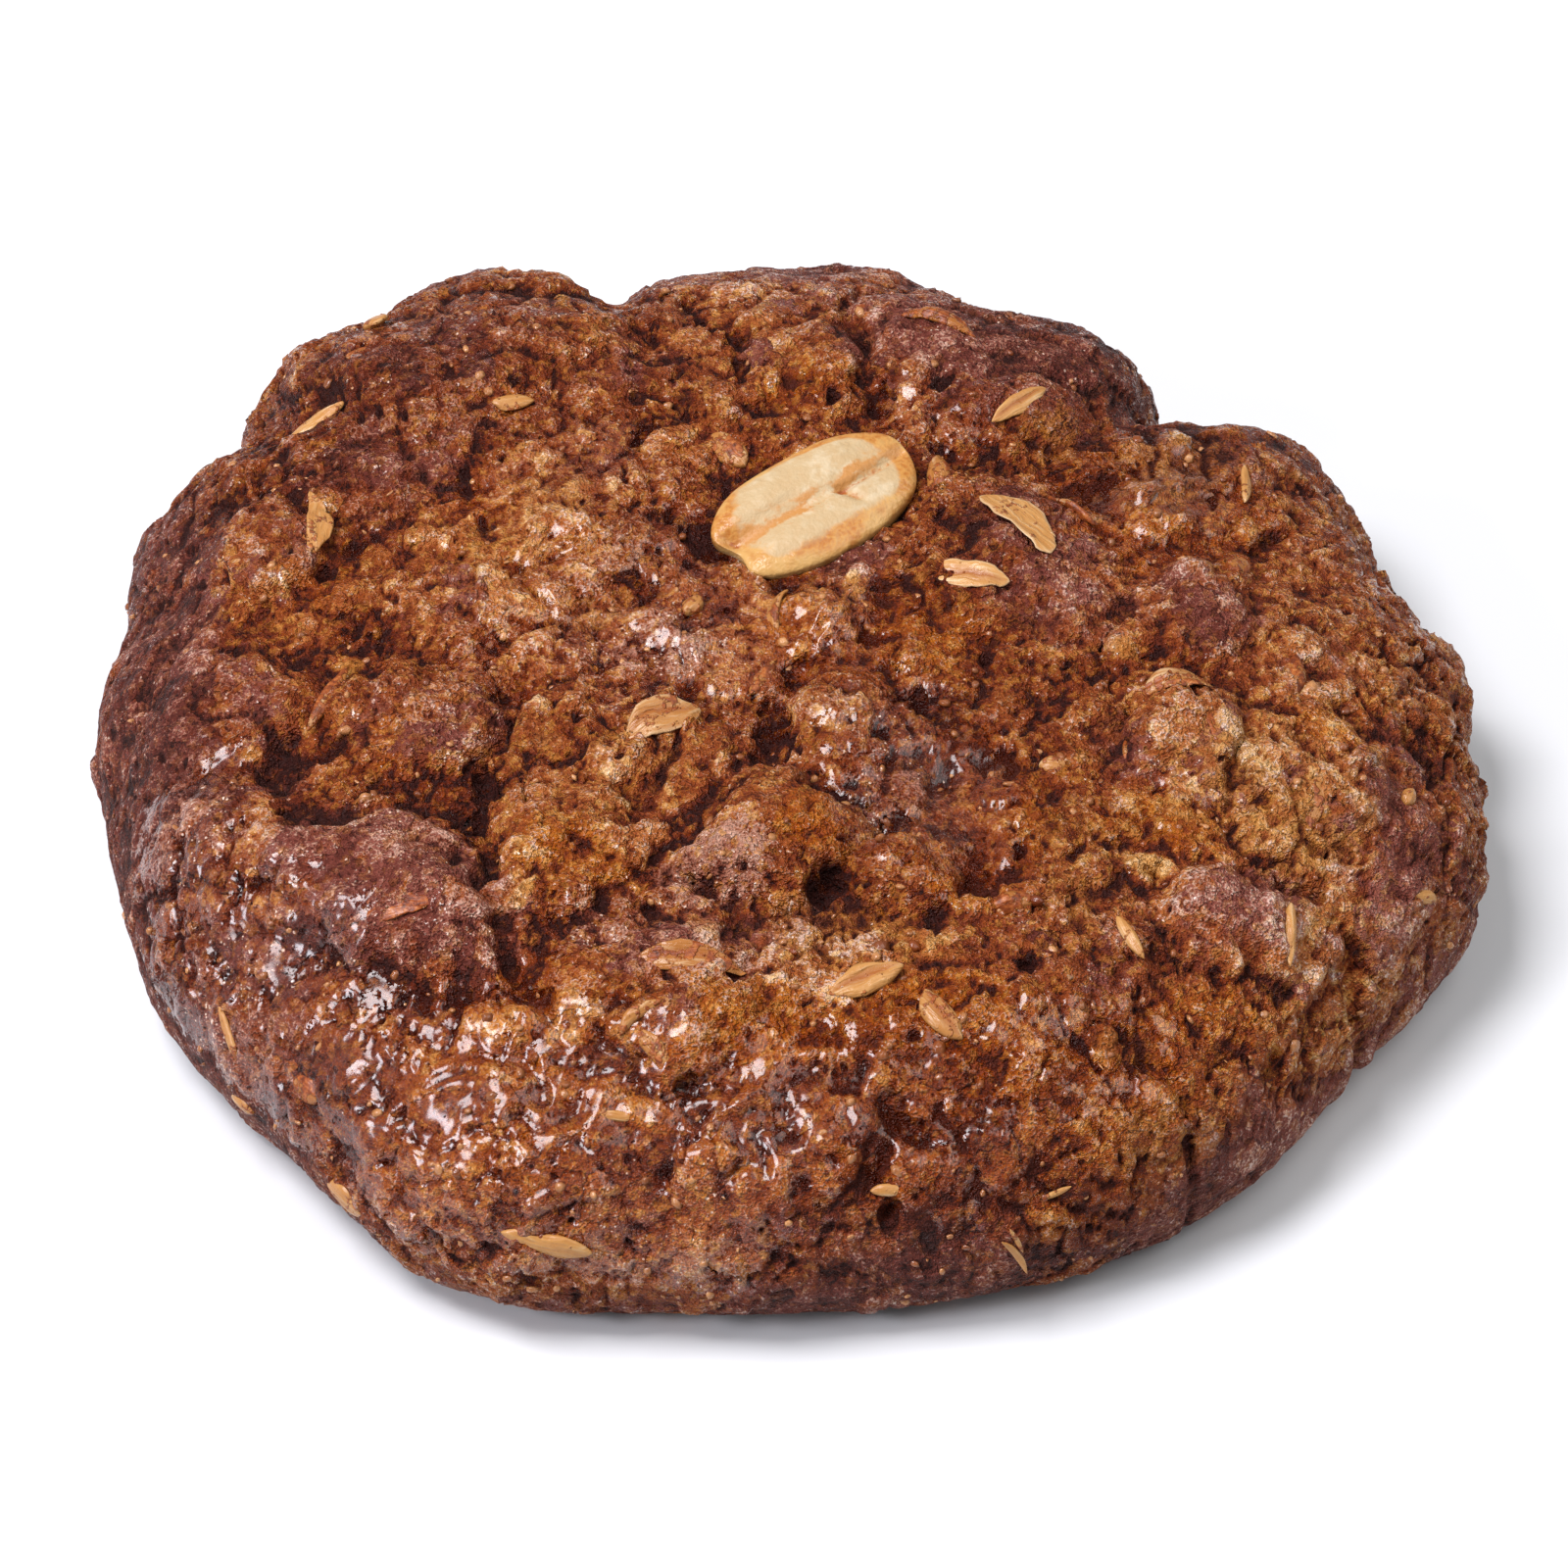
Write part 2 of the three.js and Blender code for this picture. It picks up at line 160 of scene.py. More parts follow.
# Holes: x, y, half lengths, turn, depth.
HOLES = (
    (-25.2, 26.2, 0.9, 0.6, 20, 1.4), (-29.8, 27, 0.7, 0.5, 0, 1), (-31, 20.2, 1.2, 0.5, 20, 1.2),
    (-33, 4.8, 0.7, 0.5, 0, 0.9), (-37.9, 15.5, 0.7, 0.5, 0, 1), (-33.7, 14.7, 0.6, 0.5, 0, 1),
    (-29.3, 8, 0.8, 0.6, 30, 1.4), (-23.6, 6.3, 0.5, 0.4, 0, 1), (-21.3, 6.2, 0.5, 0.4, 0, 1),
    (-29.5, 6.2, 0.5, 0.4, 0, 0.9), (-31, 2.4, 0.6, 0.4, 0, 0.9), (-39.3, 2.6, 0.8, 0.6, 0, 1),
    (4.4, 29.2, 0.9, 1.6, 0, 1), (-3.7, 29.1, 0.9, 1.2, 0, 1.6), (-4.1, 26.2, 0.8, 1.1, 0, 1.4),
    (2.2, 32.3, 0.9, 0.7, 0, 1.2), (-13.5, 2.6, 0.7, 0.6, 0, 1.4), (-12, 2.8, 0.7, 0.5, 0, 1.4),
    (-10.5, 5.5, 0.6, 0.5, 0, 1.2), (18.6, 24.4, 1.1, 0.8, 20, 1.8), (26.4, 8.7, 0.6, 0.5, 0, 1),
    (33.5, 3.1, 0.7, 0.5, 0, 1), (37.5, 1, 0.5, 0.9, 0, 1.1), (40.5, -0.8, 0.5, 0.8, 0, 1),
    (-31.6, -6, 0.9, 0.8, 0, 1.8), (-15.8, -12.3, 0.6, 0.5, 0, 1.1), (-17.3, -11.7, 0.6, 0.5, 0, 1.2),
    (-21, -12.5, 0.7, 0.4, 0, 1), (-14.5, -15.4, 0.5, 0.6, 0, 1.1), (-14.3, -21.7, 0.7, 0.5, 0, 1.1),
    (-27.3, -27.6, 0.8, 0.5, 0, 1.2), (-22.1, -25.8, 0.9, 0.6, 0, 1.2), (-17.1, -29, 0.7, 0.6, 0, 1.4),
    (-6.2, -1.2, 0.8, 1.5, 0, 1.4), (7.3, -1, 0.8, 1.3, 0, 1.5), (10.5, -19.3, 1, 0.8, 0, 1.3),
    (-8.2, -21.6, 0.6, 0.5, 0, 1.2), (-10.7, -21.7, 0.5, 0.5, 0, 1.1), (-13.9, -30.6, 0.6, 0.7, 0, 1.2),
    (5.7, -24.8, 0.7, 0.5, 0, 1.2), (6.8, -28.7, 0.7, 0.5, 0, 1.2), (4.4, -30.6, 1.1, 0.5, 20, 1.2),
    (14.3, -27.6, 0.8, 1.6, 0, 1.6), (21.2, -16.3, 1.2, 1, 0, 1.3), (22.9, -18.5, 1, 1.4, 0, 1.5),
    (31.2, -18, 2, 1, 10, 1.5), (28, -17.6, 0.8, 0.6, 0, 1.2), (25.3, -17.5, 0.8, 0.7, 0, 1.2),
    (21.7, -24.2, 0.7, 0.6, 0, 1.1), (23.7, -24.6, 0.6, 0.5, 0, 1.1), (19, -25.8, 0.6, 0.5, 0, 1),
    (25.3, -25.3, 0.6, 0.5, 0, 1), (33.5, -22, 1, 0.7, 60, 1.5), (29, -28.9, 0.7, 0.5, 30, 1.1),
    (16.4, -24.6, 0.6, 0.5, 0, 1.1), (-6.2, -34.8, 1, 0.6, 10, 2), (-9.3, -35, 0.5, 0.4, 0, 1.2),
    (-1.8, -34.6, 0.5, 0.4, 0, 1), (-3, -39.7, 0.9, 0.7, 0, 1.6), (6.3, -41.3, 0.5, 0.8, 0, 1.4),
    (20.5, -31.6, 0.6, 0.5, 0, 1.1), (8.9, 13.6, 1.6, 0.7, -40, 1), (31, 16.5, 0.6, 0.8, 0, 1.1),
    (26.3, 19.5, 0.7, 0.5, 0, 1.1), (12.4, -14, 0.9, 0.7, 0, 1.1),
)
# The peanut's seat: x, y, half lengths, turn, and the height that the skin stays below at its middle.
SEAT = (1.4, 12.5, 7.4, 4.6, 36, 15.4)
SEAT_RISE = 1.6  # from the seat's middle to its edge

# ---- Where the baked skin has each finish ----
# Soft patches: x, y, half lengths, turn, strength.
SKIN_PATCHES = (
    (-24, -20, 11, 6, -38, 1), (-23, -6, 6, 4, -10, 0.8), (-36, -6, 7, 9, 10, 0.7), (-22, 4, 4, 4, 0, 0.5),
    (-33, 11, 5, 6, 0, 0.5), (-27, 17, 8, 6, 20, 0.6), (-22, 28, 12, 7, 30, 0.6), (14, 28, 15, 8, -20, 1),
    (0, 30, 4, 7, 0, 0.4), (16, 8, 6, 9, 25, 0.8), (26, 4, 6, 5, 0, 0.8), (32, 1, 6, 5, 0, 0.5),
    (28, -21, 6, 5, 0, 0.8), (-7, -25, 7, 4, 0, 0.7), (-5, -30, 5, 4, 0, 0.4), (38, -12, 6, 10, 0, 0.8),
    (30, 22, 8, 8, 40, 0.5), (20, -24, 10, 5, 0, 0.4), (5, -13, 6, 4, 0, 0.3), (36, 12, 5, 8, 0, 0.5),
    (27, -8, 6, 5, 0, 0.45), (21, -8, 5, 6, 0, 0.3), (-13, 27, 5, 6, 0, 0.5), (30, -34, 14, 5, 40, 1),
    (0, 43, 30, 8, 0, 0.9), (-41, 0, 6, 24, 0, 1), (-34, -26, 6, 10, 40, 0.8), (3.6, 8.6, 3.2, 2.4, 0, 0.8),
    (38, -27, 6, 10, -40, 0.8), (10, -42, 16, 2.5, 0, 0.6),
)
AMBER_PATCHES = (
    (-14, 8, 9, 13, 0, 0.35), (-24, -22.5, 4, 2.2, 10, 0.9), (-14, -18, 5, 4, 0, 0.7),
    (0, -33, 16, 7, 0, 0.8), (-18, -33, 12, 8, 20, 0.9), (11, -14, 6, 9, 0, 0.9), (6, 2, 9, 6, 0, 0.7),
    (23, 14, 8, 9, 0, 1), (24, 22, 8, 5, 20, 1), (-37.5, -8, 4, 4, 0, 0.8), (1.6, -16.2, 3, 3, 0, 1),
    (9, -31, 8, 5, 0, 0.9), (8, -37, 16, 6, 0, 0.9), (23, -32, 9, 6, 25, 0.6), (-26, -8, 4, 3, 0, 0.4),
    (12, -34, 12, 6, 0, 0.7), (-28, -30, 6, 6, 0, 0.7), (-20, 22, 6, 4, 0, 0.4), (22, -15, 6, 4, 0, 0.6),
    (-30, 8, 3, 6, 0, 0.5), (33, -4, 5, 4, 0, 0.5), (0, 24, 6, 4, 0, 0.5),
)
# Frost: pale lavender, partly a pale bloom and partly painted sheen, on the top only.
FROST_AND_SHEEN_PATCHES = (
    (-4.5, -19.5, 4.2, 3.2, 10, 1), (-9, 1, 5, 4, 0, 0.7), (-5, -26, 6, 3.5, 10, 0.55),
    (-11, -23, 4, 3, 0, 0.6), (1, -24, 4, 3, 0, 0.5), (-20, 21, 6, 3, 0, 0.5), (-16, 33, 4, 2.5, 0, 0.5),
    (7, -12, 3.5, 4, 0, 0.5), (2, -27, 5, 4, 0, 0.6), (-36, -13, 4, 5, 20, 0.4), (-13, 6, 6, 8, 0, 0.45),
    (0, 36, 12, 5, 0, 0.4), (-24, -17, 5, 3, -38, 0.5),
)
GLOSS_PATCHES = (
    (-4, 2, 14, 10, 0, 0.8), (8, -12, 7, 10, 0, 0.9), (-14, 12, 9, 12, 0, 0.7), (-32, -25, 8, 14, 30, 1),
    (-20, -34, 14, 9, 20, 1), (-8, -38, 14, 7, 0, 1), (-37, -11, 5, 8, 0, 0.9), (6, -36, 14, 7, 0, 0.65),
    (17, -32, 8, 6, 20, 0.5), (23, 14, 9, 9, 0, 0.7), (-18, 0, 5, 5, 0, 0.6), (10, 22, 8, 6, 0, 0.5),
    (-24, 27, 9, 6, 0, 0.4), (22, -13, 6, 4, 0, 0.5), (36, 6, 6, 10, 0, 0.3), (-30, 12, 6, 8, 0, 0.4),
)
TAN_PATCHES = (
    (24, -33, 14, 7, 25, 0.45), (10, -36, 10, 6, 0, 0.3), (30, -12, 10, 9, 0, 0.7), (19, -18, 9, 8, 0, 0.6),
    (-2, -13, 6, 6, 0, 0.5), (22, 19, 10, 8, 20, 0.8), (-13, -16, 6, 6, 0, 0.4), (-31, -15, 2.5, 3, 0, 0.8),
    (-14, 9, 8, 10, 0, 0.7), (-12, -10, 8, 7, 0, 0.6), (3, -25, 8, 5, 0, 0.8), (3, -6, 4, 4, 0, 0.6),
    (-10, -30, 9, 5, 0, 0.4), (16, -6, 8, 8, 0, 0.5), (34, 2, 8, 12, 0, 0.5),
)
# With the seed of the noise that breaks them up.
FINISH_PATCHES = (
    (SKIN_PATCHES, 201), (AMBER_PATCHES, 206), (FROST_AND_SHEEN_PATCHES, 211), (GLOSS_PATCHES, 216), (TAN_PATCHES, 221),
)
# Soft spots of painted shade, below 0, and of painted light, above 0, in part also darker and paler baking;
# the two by the peanut's ends are its painted shadow: x, y, half lengths, turn, strength.
PAINTED_LIGHT_AND_SHADE_SPOTS = (
    (-40, -8, 8, 20, 0, -0.9), (-28, -31, 9, 8, 35, -0.9), (-6.5, 11, 3, 3.5, 0, -1.2),
    (9, 15, 2.5, 3, 0, -0.9), (4, -40, 14, 6, 0, -0.4), (-24, -20, 7, 5, -38, 0.3),
    (-26, 24, 14, 9, 35, -1.1), (17, 29, 12, 7, -25, -0.9), (13, 10, 5, 6, 0, -0.5),
    (10, -11, 5, 7, 0, -1.3), (25, 16, 6, 5, 0, -0.4), (1, -26, 7, 4, 0, 1.3), (-33, 5, 4, 5, 0, 1.4),
    (19, 5, 4, 5, 0, 0.4), (35, -23, 8, 8, 0, 1.6), (-18, 9, 7, 9, 0, 0.9), (-12, -14, 7, 7, 0, 0.4),
    (37, 0, 7, 12, 0, 0.8), (27, -10, 7, 7, 0, 1.2), (0, 34, 9, 5, 0, 1), (0.7, -27.5, 4, 4, 0, 0.4),
    (-11, -12.5, 4, 4, 0, 0.6), (-19, 8.6, 5, 5, 0, 0.4), (-29, -8, 4, 4, 0, 0.4), (-6, -44, 6, 4, 0, 0.5),
    (8, -37, 13, 5, 0, -0.7), (36, -31, 8, 8, 0, -0.3),
)

LOW_SIDE, FROST_AND_SHEEN_LEVELS = (2, 8.5), (9, 13)  # heights over which the low side's finish ends and the frost, partly painted sheen, begins
BURIED_SHARE = 0.42  # of the cubes that may hold a flake under the skin
# Noise that shifts the plan so that outlines come out ragged: amount, size, seed.
WOBBLES = ((0.9, 5.1, 75), (0.6, 2.3, 71), (0.3, 0.9, 73))

# ---- The peanut half ----
NUT_LENGTH, NUT_WIDTH = 14.4, 8.2
NUT_POWER = 0.82  # of the sines of its outline, which is a square at 0 and an ellipse at 1
NUT_BACK = 3.4  # depth of the round back below the rim
NUT_FACE = 0.9  # height of the face above the rim
NUT_PLACE = np.array([1.5, 12.75, 17.5])  # of the rim's middle
NUT_TURN = math.radians(36)
NUT_TILT = math.radians(10)
NUT_RINGS, NUT_SIDES = 71, 112

# ---- Flakes and grains ----
# Oat flakes, slivers and nut chips, set one by one: x, y, heading, length, width, thickness,
# lift of the middle above the skin, bow, roll, curl, groove depth, and tone (0 amber to 1 pale).
SET_FLAKES = (
    (14, 9.9, -50, 6.8, 2.8, 0.4, 0.25, 0.9, -12, 0.2, 0, 0.85),
    (11.2, 6.2, -16, 5.8, 2.1, 0.45, 0.35, -0.3, 14, 0.1, 0.1, 1),
    (14.6, 21.6, 42, 4.8, 1.3, 0.4, 0.35, 0, 20, 0.1, 0.08, 0.95),
    (4.4, -28, 22, 5, 2, 0.8, 0.55, 0.1, 14, 0.1, 0.4, 0.85),
    (-6.2, -27, -2, 7, 1.9, 0.45, 0.1, 0.5, 22, 0.2, 0.16, 0.35),
    (9, -30.2, -58, 4, 1.8, 0.8, 0.25, -0.4, 0, 0.1, 0.1, 0.6),
    (-7.9, -6.6, 28, 5.2, 2.6, 0.5, 0.3, 0.6, 20, 0.1, 0.14, 0.65),
    (-28.6, -3.6, 66, 6, 0.9, 0.4, 0.05, 0, 40, 0.1, 0, 0.3),
    (-30.6, 11.2, 96, 6.6, 1.5, 0.4, 0.25, -0.9, -15, 0.2, 0, 0.7),
    (9.4, 28.6, -22, 5.4, 1.2, 0.5, 0.25, 0.6, 30, 0.2, 0, 0.15),
    (-28.3, 27.6, 30, 3.2, 1.2, 0.5, 0.25, 0, 20, 0.1, 0, 0.25),
    (-30.2, 22.2, 20, 4, 1.2, 0.5, 0.25, 0, 18, 0.1, 0, 0.85),
    (-26.6, 31.2, 30, 2, 1.5, 0.8, 0.4, 0, 0, 0, 0, 0.8),
    (-17.9, 21.8, 10, 2.8, 1.2, 0.5, 0.3, 0, 10, 0, 0, 0.7),
    (-4, 18.4, -55, 3.6, 1.9, 0.9, 0.1, 0, 10, 0, 0, 0.45),
    (9.4, 15.6, 84, 4, 1.5, 0.9, 0.05, 0, 0, 0, 0, 0.4),
    (17.9, 12.6, -52, 4.2, 1.1, 0.5, 0.2, 0, -35, 0.1, 0, 0.15),
    (-6.2, 4.5, 60, 1.8, 1.3, 0.9, 0.25, 0, 0, 0, 0, 0.5),
    (-0.6, 3.4, 80, 4, 0.9, 0.5, 0.25, 0.6, -20, 0.3, 0, 0.45),
    (28.9, 16.2, 88, 3.4, 0.8, 0.5, 0.3, 0, 30, 0.1, 0, 0.75),
    (23.8, -3.8, 8, 4.6, 1.9, 0.4, 0.1, 0.8, 14, 0.2, 0, 0.4),
    (26.4, -7.2, -70, 5, 2.2, 0.4, 0, 0.4, 0, 0.1, 0, 0.15),
    (20.2, -7.8, -76, 3.8, 0.8, 0.4, 0.05, 0.2, 35, 0.1, 0, 0.3),
    (32.2, -11.7, 84, 4.2, 1.6, 0.45, 0.1, 0.3, 0, 0.1, 0, 0.45),
    (29.9, -21.4, -82, 4.4, 0.8, 0.5, 0.35, 0, 40, 0.1, 0, 0.8),
    (20.3, -23.9, -62, 3.4, 0.8, 0.5, 0.4, 0, 30, 0.1, 0, 0.85),
    (31.5, -1, 88, 3.2, 1.3, 0.7, 0.15, 0, 0, 0, 0, 0.15),
    (28.3, 8.3, 40, 2.4, 1.6, 0.9, 0.1, 0, 0, 0, 0, 0.2),
    (-1.8, -2, 64, 3.4, 1, 0.5, 0.15, 0, 20, 0, 0, 0.4),
    (13.4, -21.5, 10, 2.8, 1.5, 0.9, 0.15, 0, 0, 0, 0, 0.2),
    (-8.8, -31, 36, 3.6, 0.8, 0.4, 0.2, 0.5, 30, 0.2, 0, 0.5),
    (-10.2, -36.4, -4, 3, 0.7, 0.5, 0.2, 0, 30, 0, 0, 0.65),
    (16.1, -9.7, 0, 1.8, 1.4, 0.9, 0.35, 0, 0, 0, 0, 0.6),
    (-23.7, -22.3, 10, 4.8, 2, 0.4, -0.15, 0.3, 0, 0, 0, 0),
    (38.3, -9.2, 70, 1.5, 1, 0.8, 0.2, 0, 0, 0, 0, 0.6),
    (-8.2, -33, -64, 4.4, 1.2, 0.45, 0.1, 0.3, 20, 0.2, 0, 0.45),
)
# The same, for the side: angle, height, then as above from heading, which is 0 along the rim.
RIM_FLAKES = (
    (232.5, 4.9, -30, 3.6, 2, 0.9, 0.05, 0, 0, 0, 0, 0.75),
    (250.8, 8.3, -12, 5.6, 1.5, 0.7, 0.15, 0, 10, 0.1, 0, 0.85),
    (226.1, 9.6, -10, 2.6, 1.6, 0.9, 0, 0, 0, 0, 0, 0.15),
    (216.8, 8.7, -58, 4.6, 0.9, 0.5, 0.1, 0, 20, 0.1, 0, 0.7),
    (219.4, 5, -30, 2.2, 1.1, 0.7, 0.1, 0, 0, 0, 0, 0.6),
    (278.1, 10.9, -8, 2, 0.8, 0.5, 0.25, 0, 0, 0, 0, 0.8),
    (338.7, 10.5, -70, 2.2, 1, 0.7, 0.15, 0, 0, 0, 0, 0.85),
    (340, 5.9, 60, 3, 1, 0.6, 0.05, 0, 0, 0, 0, 0.4),
    (292, 9.5, 18, 2.2, 0.4, 0.3, 0.35, 0, 0, 0, 0, 0.9),
    (287.8, 6.6, -90.3, 3.2, 0.46, 0.34, 0.5, 0.2, 0, -0.2, 0, 0.9),
    (288.1, 7.6, -88, 2, 0.32, 0.26, 0.5, 0, 0, 0, 0, 0.8),
)

FLAKE_RINGS, FLAKE_SIDES = 19, 18
LEAST_GAP = 0.1  # between a flake and the floor
GROOVE_PLACE = 0.15  # of a flake's groove beside its middle, in half widths
FOLLOWING, MOST_FOLLOWED = 0.7, 1.2  # share of the skin's rises and falls that a flake follows, and the most
BLOB_RINGS, BLOB_SIDES = 3, 7
BLOB_FLATNESS = 0.55  # height of a grain over its width
PLACE_SEED, BLOB_SEED = 51, 52  # for where the grains lie, and for their shapes
GRAIN_SPREAD = 0.32  # of the logarithm of the grains' widths
WIDEST_GRAIN = 0.75
GRAIN_SINK = 0.10  # how far a grain's middle lies under the skin, over its width
DARK_SHARE = 0.2  # of the grains
LOWEST_GRAIN = 0.6  # height over the floor
GRAIN_REACH = 0.93  # share of the way down to the underside's edge
NUT_CLEARANCE = (1.3, 13.2, 7.9, 5.2, 36)  # x, y, half lengths and turn of the ellipse without grains

# ---- The skin's map for baking: middle and radius of two discs ----
TOP_MAP = (0.405, 0.40)
UNDER_MAP = (0.83, 0.165)

# ---- The stage, in metres ----
FLOOR_REACH = 3.0
ROOM_COLOUR = (0.95, 0.97, 1, 1)
# Softboxes: name, place, side length, colour.
SOFTBOXES = (
    ("key", (-0.27, -0.02, 0.61), 0.30, (0.99, 0.97, 1.0)),
    ("edge", (-0.44, -0.26, 0.36), 0.16, (0.93, 0.92, 1.0)),
    ("fill", (0.34, -0.04, 0.56), 0.50, (1.0, 0.99, 0.98)),
)
LENS_MM, SENSOR_MM = 163.3, 36.0
CAMERA_PLACE = (-0.00007, -0.3207, 0.3250)
CAMERA_TILT = math.radians(45)


# ---- Repeatable noise ----

def hashed(cubes, seed):
    """A number from 0 to 1 for each cube's three whole numbers: they are multiplied, joined bit by bit with
    the seed, and stirred twice."""
    part = cubes.astype(np.int64)
    mixed = part[..., 0] * 73856093 ^ part[..., 1] * 19349663 ^ part[..., 2] * 83492791 ^ seed * 2654435761
    bits = (mixed & 0xFFFFFFFF).astype(np.uint32)
    for shift, factor in ((16, 0x7FEB352D), (15, 0x846CA68B)):
        bits ^= bits >> np.uint32(shift)
        bits *= np.uint32(factor)
    bits ^= bits >> np.uint32(16)
    return bits / 4294967295.0


def noise(points, size, seed):
    """Smooth noise from -1 to 1: a hashed value on each corner of a cube of side size, blended inside the
    cube with the curve 6t^5 - 15t^4 + 10t^3 on every axis."""
    scaled = points / size
    base = np.floor(scaled)
    t = scaled - base
    t = t * t * t * (t * (6 * t - 15) + 10)
    total = 0.0
    for corner in itertools.product((0, 1), repeat=3):
        weight = np.prod(np.where(corner, t, 1 - t), axis=-1)
        total = total + weight * hashed(base + np.array(corner), seed)
    return 2 * total - 1


# Turns each octave of layered noise against the one before.
TUMBLE = np.array(Matrix.Rotation(0.9, 3, Vector((1, 2, 3)).normalized()))


def layered(points, size, octaves, seed, keep=0.5):
    """Noise added up over octaves: each has half the size and keep times the height of the last, and is
    turned against it, so that the cubes don't line up."""
    total, weight, norm = 0.0, 1.0, 0.0
    for octave in range(octaves):
        total = total + weight * noise(points, size, seed + octave)
        norm += weight
        weight *= keep
        size *= 0.5
        points = points @ TUMBLE.T
    return total / norm


def cubes_near(points, size, seed):
    """The 27 cubes of side size at and next to each point, one after another: each is given with the way
    from its random spot to the point, in cube sides."""
    scaled = points / size
    base = np.floor(scaled)
    for step in itertools.product((-1, 0, 1), repeat=3):
        cube = base + np.array(step)
        yield cube, scaled - cube - np.stack([hashed(cube, seed + axis) for axis in range(3)], -1)


def nearest_spot(points, size, seed):
    """Distance to the nearest of one random spot per cube of side size, and a random number from 0 to 1 that
    belongs to it."""
    near = np.full(points.shape[:-1], 9.0)
    tag = 0 * near
    for cube, way in cubes_near(points, size, seed):
        away = np.linalg.norm(way, axis=-1)
        tag = np.where(away < near, hashed(cube, seed + 3), tag)
        near = np.minimum(near, away)
    return near * size, tag


def shards(points, size, seed, lean):
    """Height of broken flat pieces, one per cube: each is a plane of random level and slope, up to lean, and
    the planes of the nearest two cubes are blended over a tenth of the size where they meet. Also the
    distance from that meeting and a random number from 0 to 1 of the nearest."""
    near = np.full(points.shape[:-1], 9.0)
    second, tag, plane, next_plane = near.copy(), 0 * near, 0 * near, 0 * near
    for cube, way in cubes_near(points, size, seed):
        slope = np.stack([hashed(cube, seed + axis) for axis in (4, 5, 6)], -1) - 0.5
        away = np.linalg.norm(way, axis=-1)
        own = hashed(cube, seed + 3)
        level = 0.5 * lean * (own - 0.5) + 2 * lean * np.sum(way * slope, -1)
        closer = away < near
        between = ~closer & (away < second)
        second = np.where(closer, near, np.where(between, away, second))
        next_plane = np.where(closer, plane, np.where(between, level, next_plane))
        near = np.where(closer, away, near)
        plane = np.where(closer, level, plane)
        tag = np.where(closer, own, tag)
    own_share = 0.5 + 0.5 * ramp(second - near, 0, 0.2)
    return size * (plane * own_share + next_plane * (1 - own_share)), size * (second - near), tag


def buried_oats(points, size, seed):
    """How much a flake lies just under the skin, 0 to 1, and its tone. A share BURIED_SHARE of the cubes
    holds a flat ellipsoid of random place, heading and size; a point is in it where its scaled distance is
    under 1."""
    cover = np.zeros(points.shape[:-1])
    tone = 0 * cover
    for cube, way in cubes_near(points, size, seed):
        turn = 2 * math.pi * hashed(cube, seed + 4)
        along = way[..., 0] * np.cos(turn) + way[..., 1] * np.sin(turn)
        across = way[..., 1] * np.cos(turn) - way[..., 0] * np.sin(turn)
        long = 0.24 + 0.30 * hashed(cube, seed + 5)
        wide = long * (0.35 + 0.35 * hashed(cube, seed + 6))
        far = np.sqrt((along / long) ** 2 + (across / wide) ** 2 + (way[..., 2] / 0.32) ** 2)
        inside = np.where(hashed(cube, seed + 3) < BURIED_SHARE, 1 - ramp(far, 0.72, 1), 0)
        tone = np.where(inside > cover, hashed(cube, seed + 7), tone)
        cover = np.maximum(cover, inside)
    return cover, tone


def ramp(value, low, high):
    """0 below low, 1 above high, and 3t^2 - 2t^3 between them."""
    t = np.clip((value - low) / (high - low), 0, 1)
    return t * t * (3 - 2 * t)


def bell(distance, half):
    """1 at distance 0 and 1/e at half."""
    return np.exp(-((distance / half) ** 2))


def unit(vectors):
    """The vectors scaled to length 1."""
    return vectors / np.maximum(np.linalg.norm(vectors, axis=-1, keepdims=True), 1e-9)


# ---- The cookie's surface as a function of two parameters ----

def meridian():
    """Radius, height and share of the arc length, from the crown to the underside's edge: a quarter of a
    superellipse of power BROW down to the waist, then a quarter ellipse in to the heel."""
    t = np.linspace(0, 1, 2400)
    across = np.clip(t / WAIST_SHARE, 0, 1)
    turn = (math.pi / 2) * np.clip((t - WAIST_SHARE) / (1 - WAIST_SHARE), 0, 1)
    over = t < WAIST_SHARE
    radius = np.where(over, RADIUS * across, RADIUS - HEEL * (1 - np.cos(turn)))
    height = np.where(
        over,
        WAIST + (CROWN - WAIST) * np.sqrt(np.maximum(0, 1 - across**BROW)),
        WAIST * (1 - np.sin(turn)),
    )
    length = np.concatenate([[0], np.cumsum(np.hypot(np.diff(radius), np.diff(height)))])
    return radius, height, length / length[-1]


STATION_RADIUS, STATION_HEIGHT, STATION_SHARE = meridian()


def outline_scale(angle):
    """The outline's radius over RADIUS at an angle in radians: 1 with a bell added for each bulge or dent."""
    degrees = np.degrees(angle)
    radius = np.full_like(degrees, RADIUS)
    for at, height, spread in OUTLINE:
        radius += height * bell((degrees - at + 180) % 360 - 180, spread)
    return radius / RADIUS


def ellipse_share(x, y, spot):
    """Squared distance from a spot's middle, 1 on the ellipse of its two half lengths."""
    middle_x, middle_y, half_a, half_b, turn = spot[:5]
    cos, sin = math.cos(math.radians(turn)), math.sin(math.radians(turn))
    along = ((x - middle_x) * cos + (y - middle_y) * sin) / half_a
    across = ((y - middle_y) * cos - (x - middle_x) * sin) / half_b
    return along**2 + across**2


def course_distance(x, y, course):
    """Distance in the plan to a line of straight stretches."""
    least = np.full(np.shape(x), 1e9)
    for (x0, y0), (x1, y1) in zip(course[:-1], course[1:]):
        dx, dy = x1 - x0, y1 - y0
        t = np.clip(((x - x0) * dx + (y - y0) * dy) / (dx * dx + dy * dy), 0, 1)
        least = np.minimum(least, np.hypot(x - x0 - t * dx, y - y0 - t * dy))
    return least


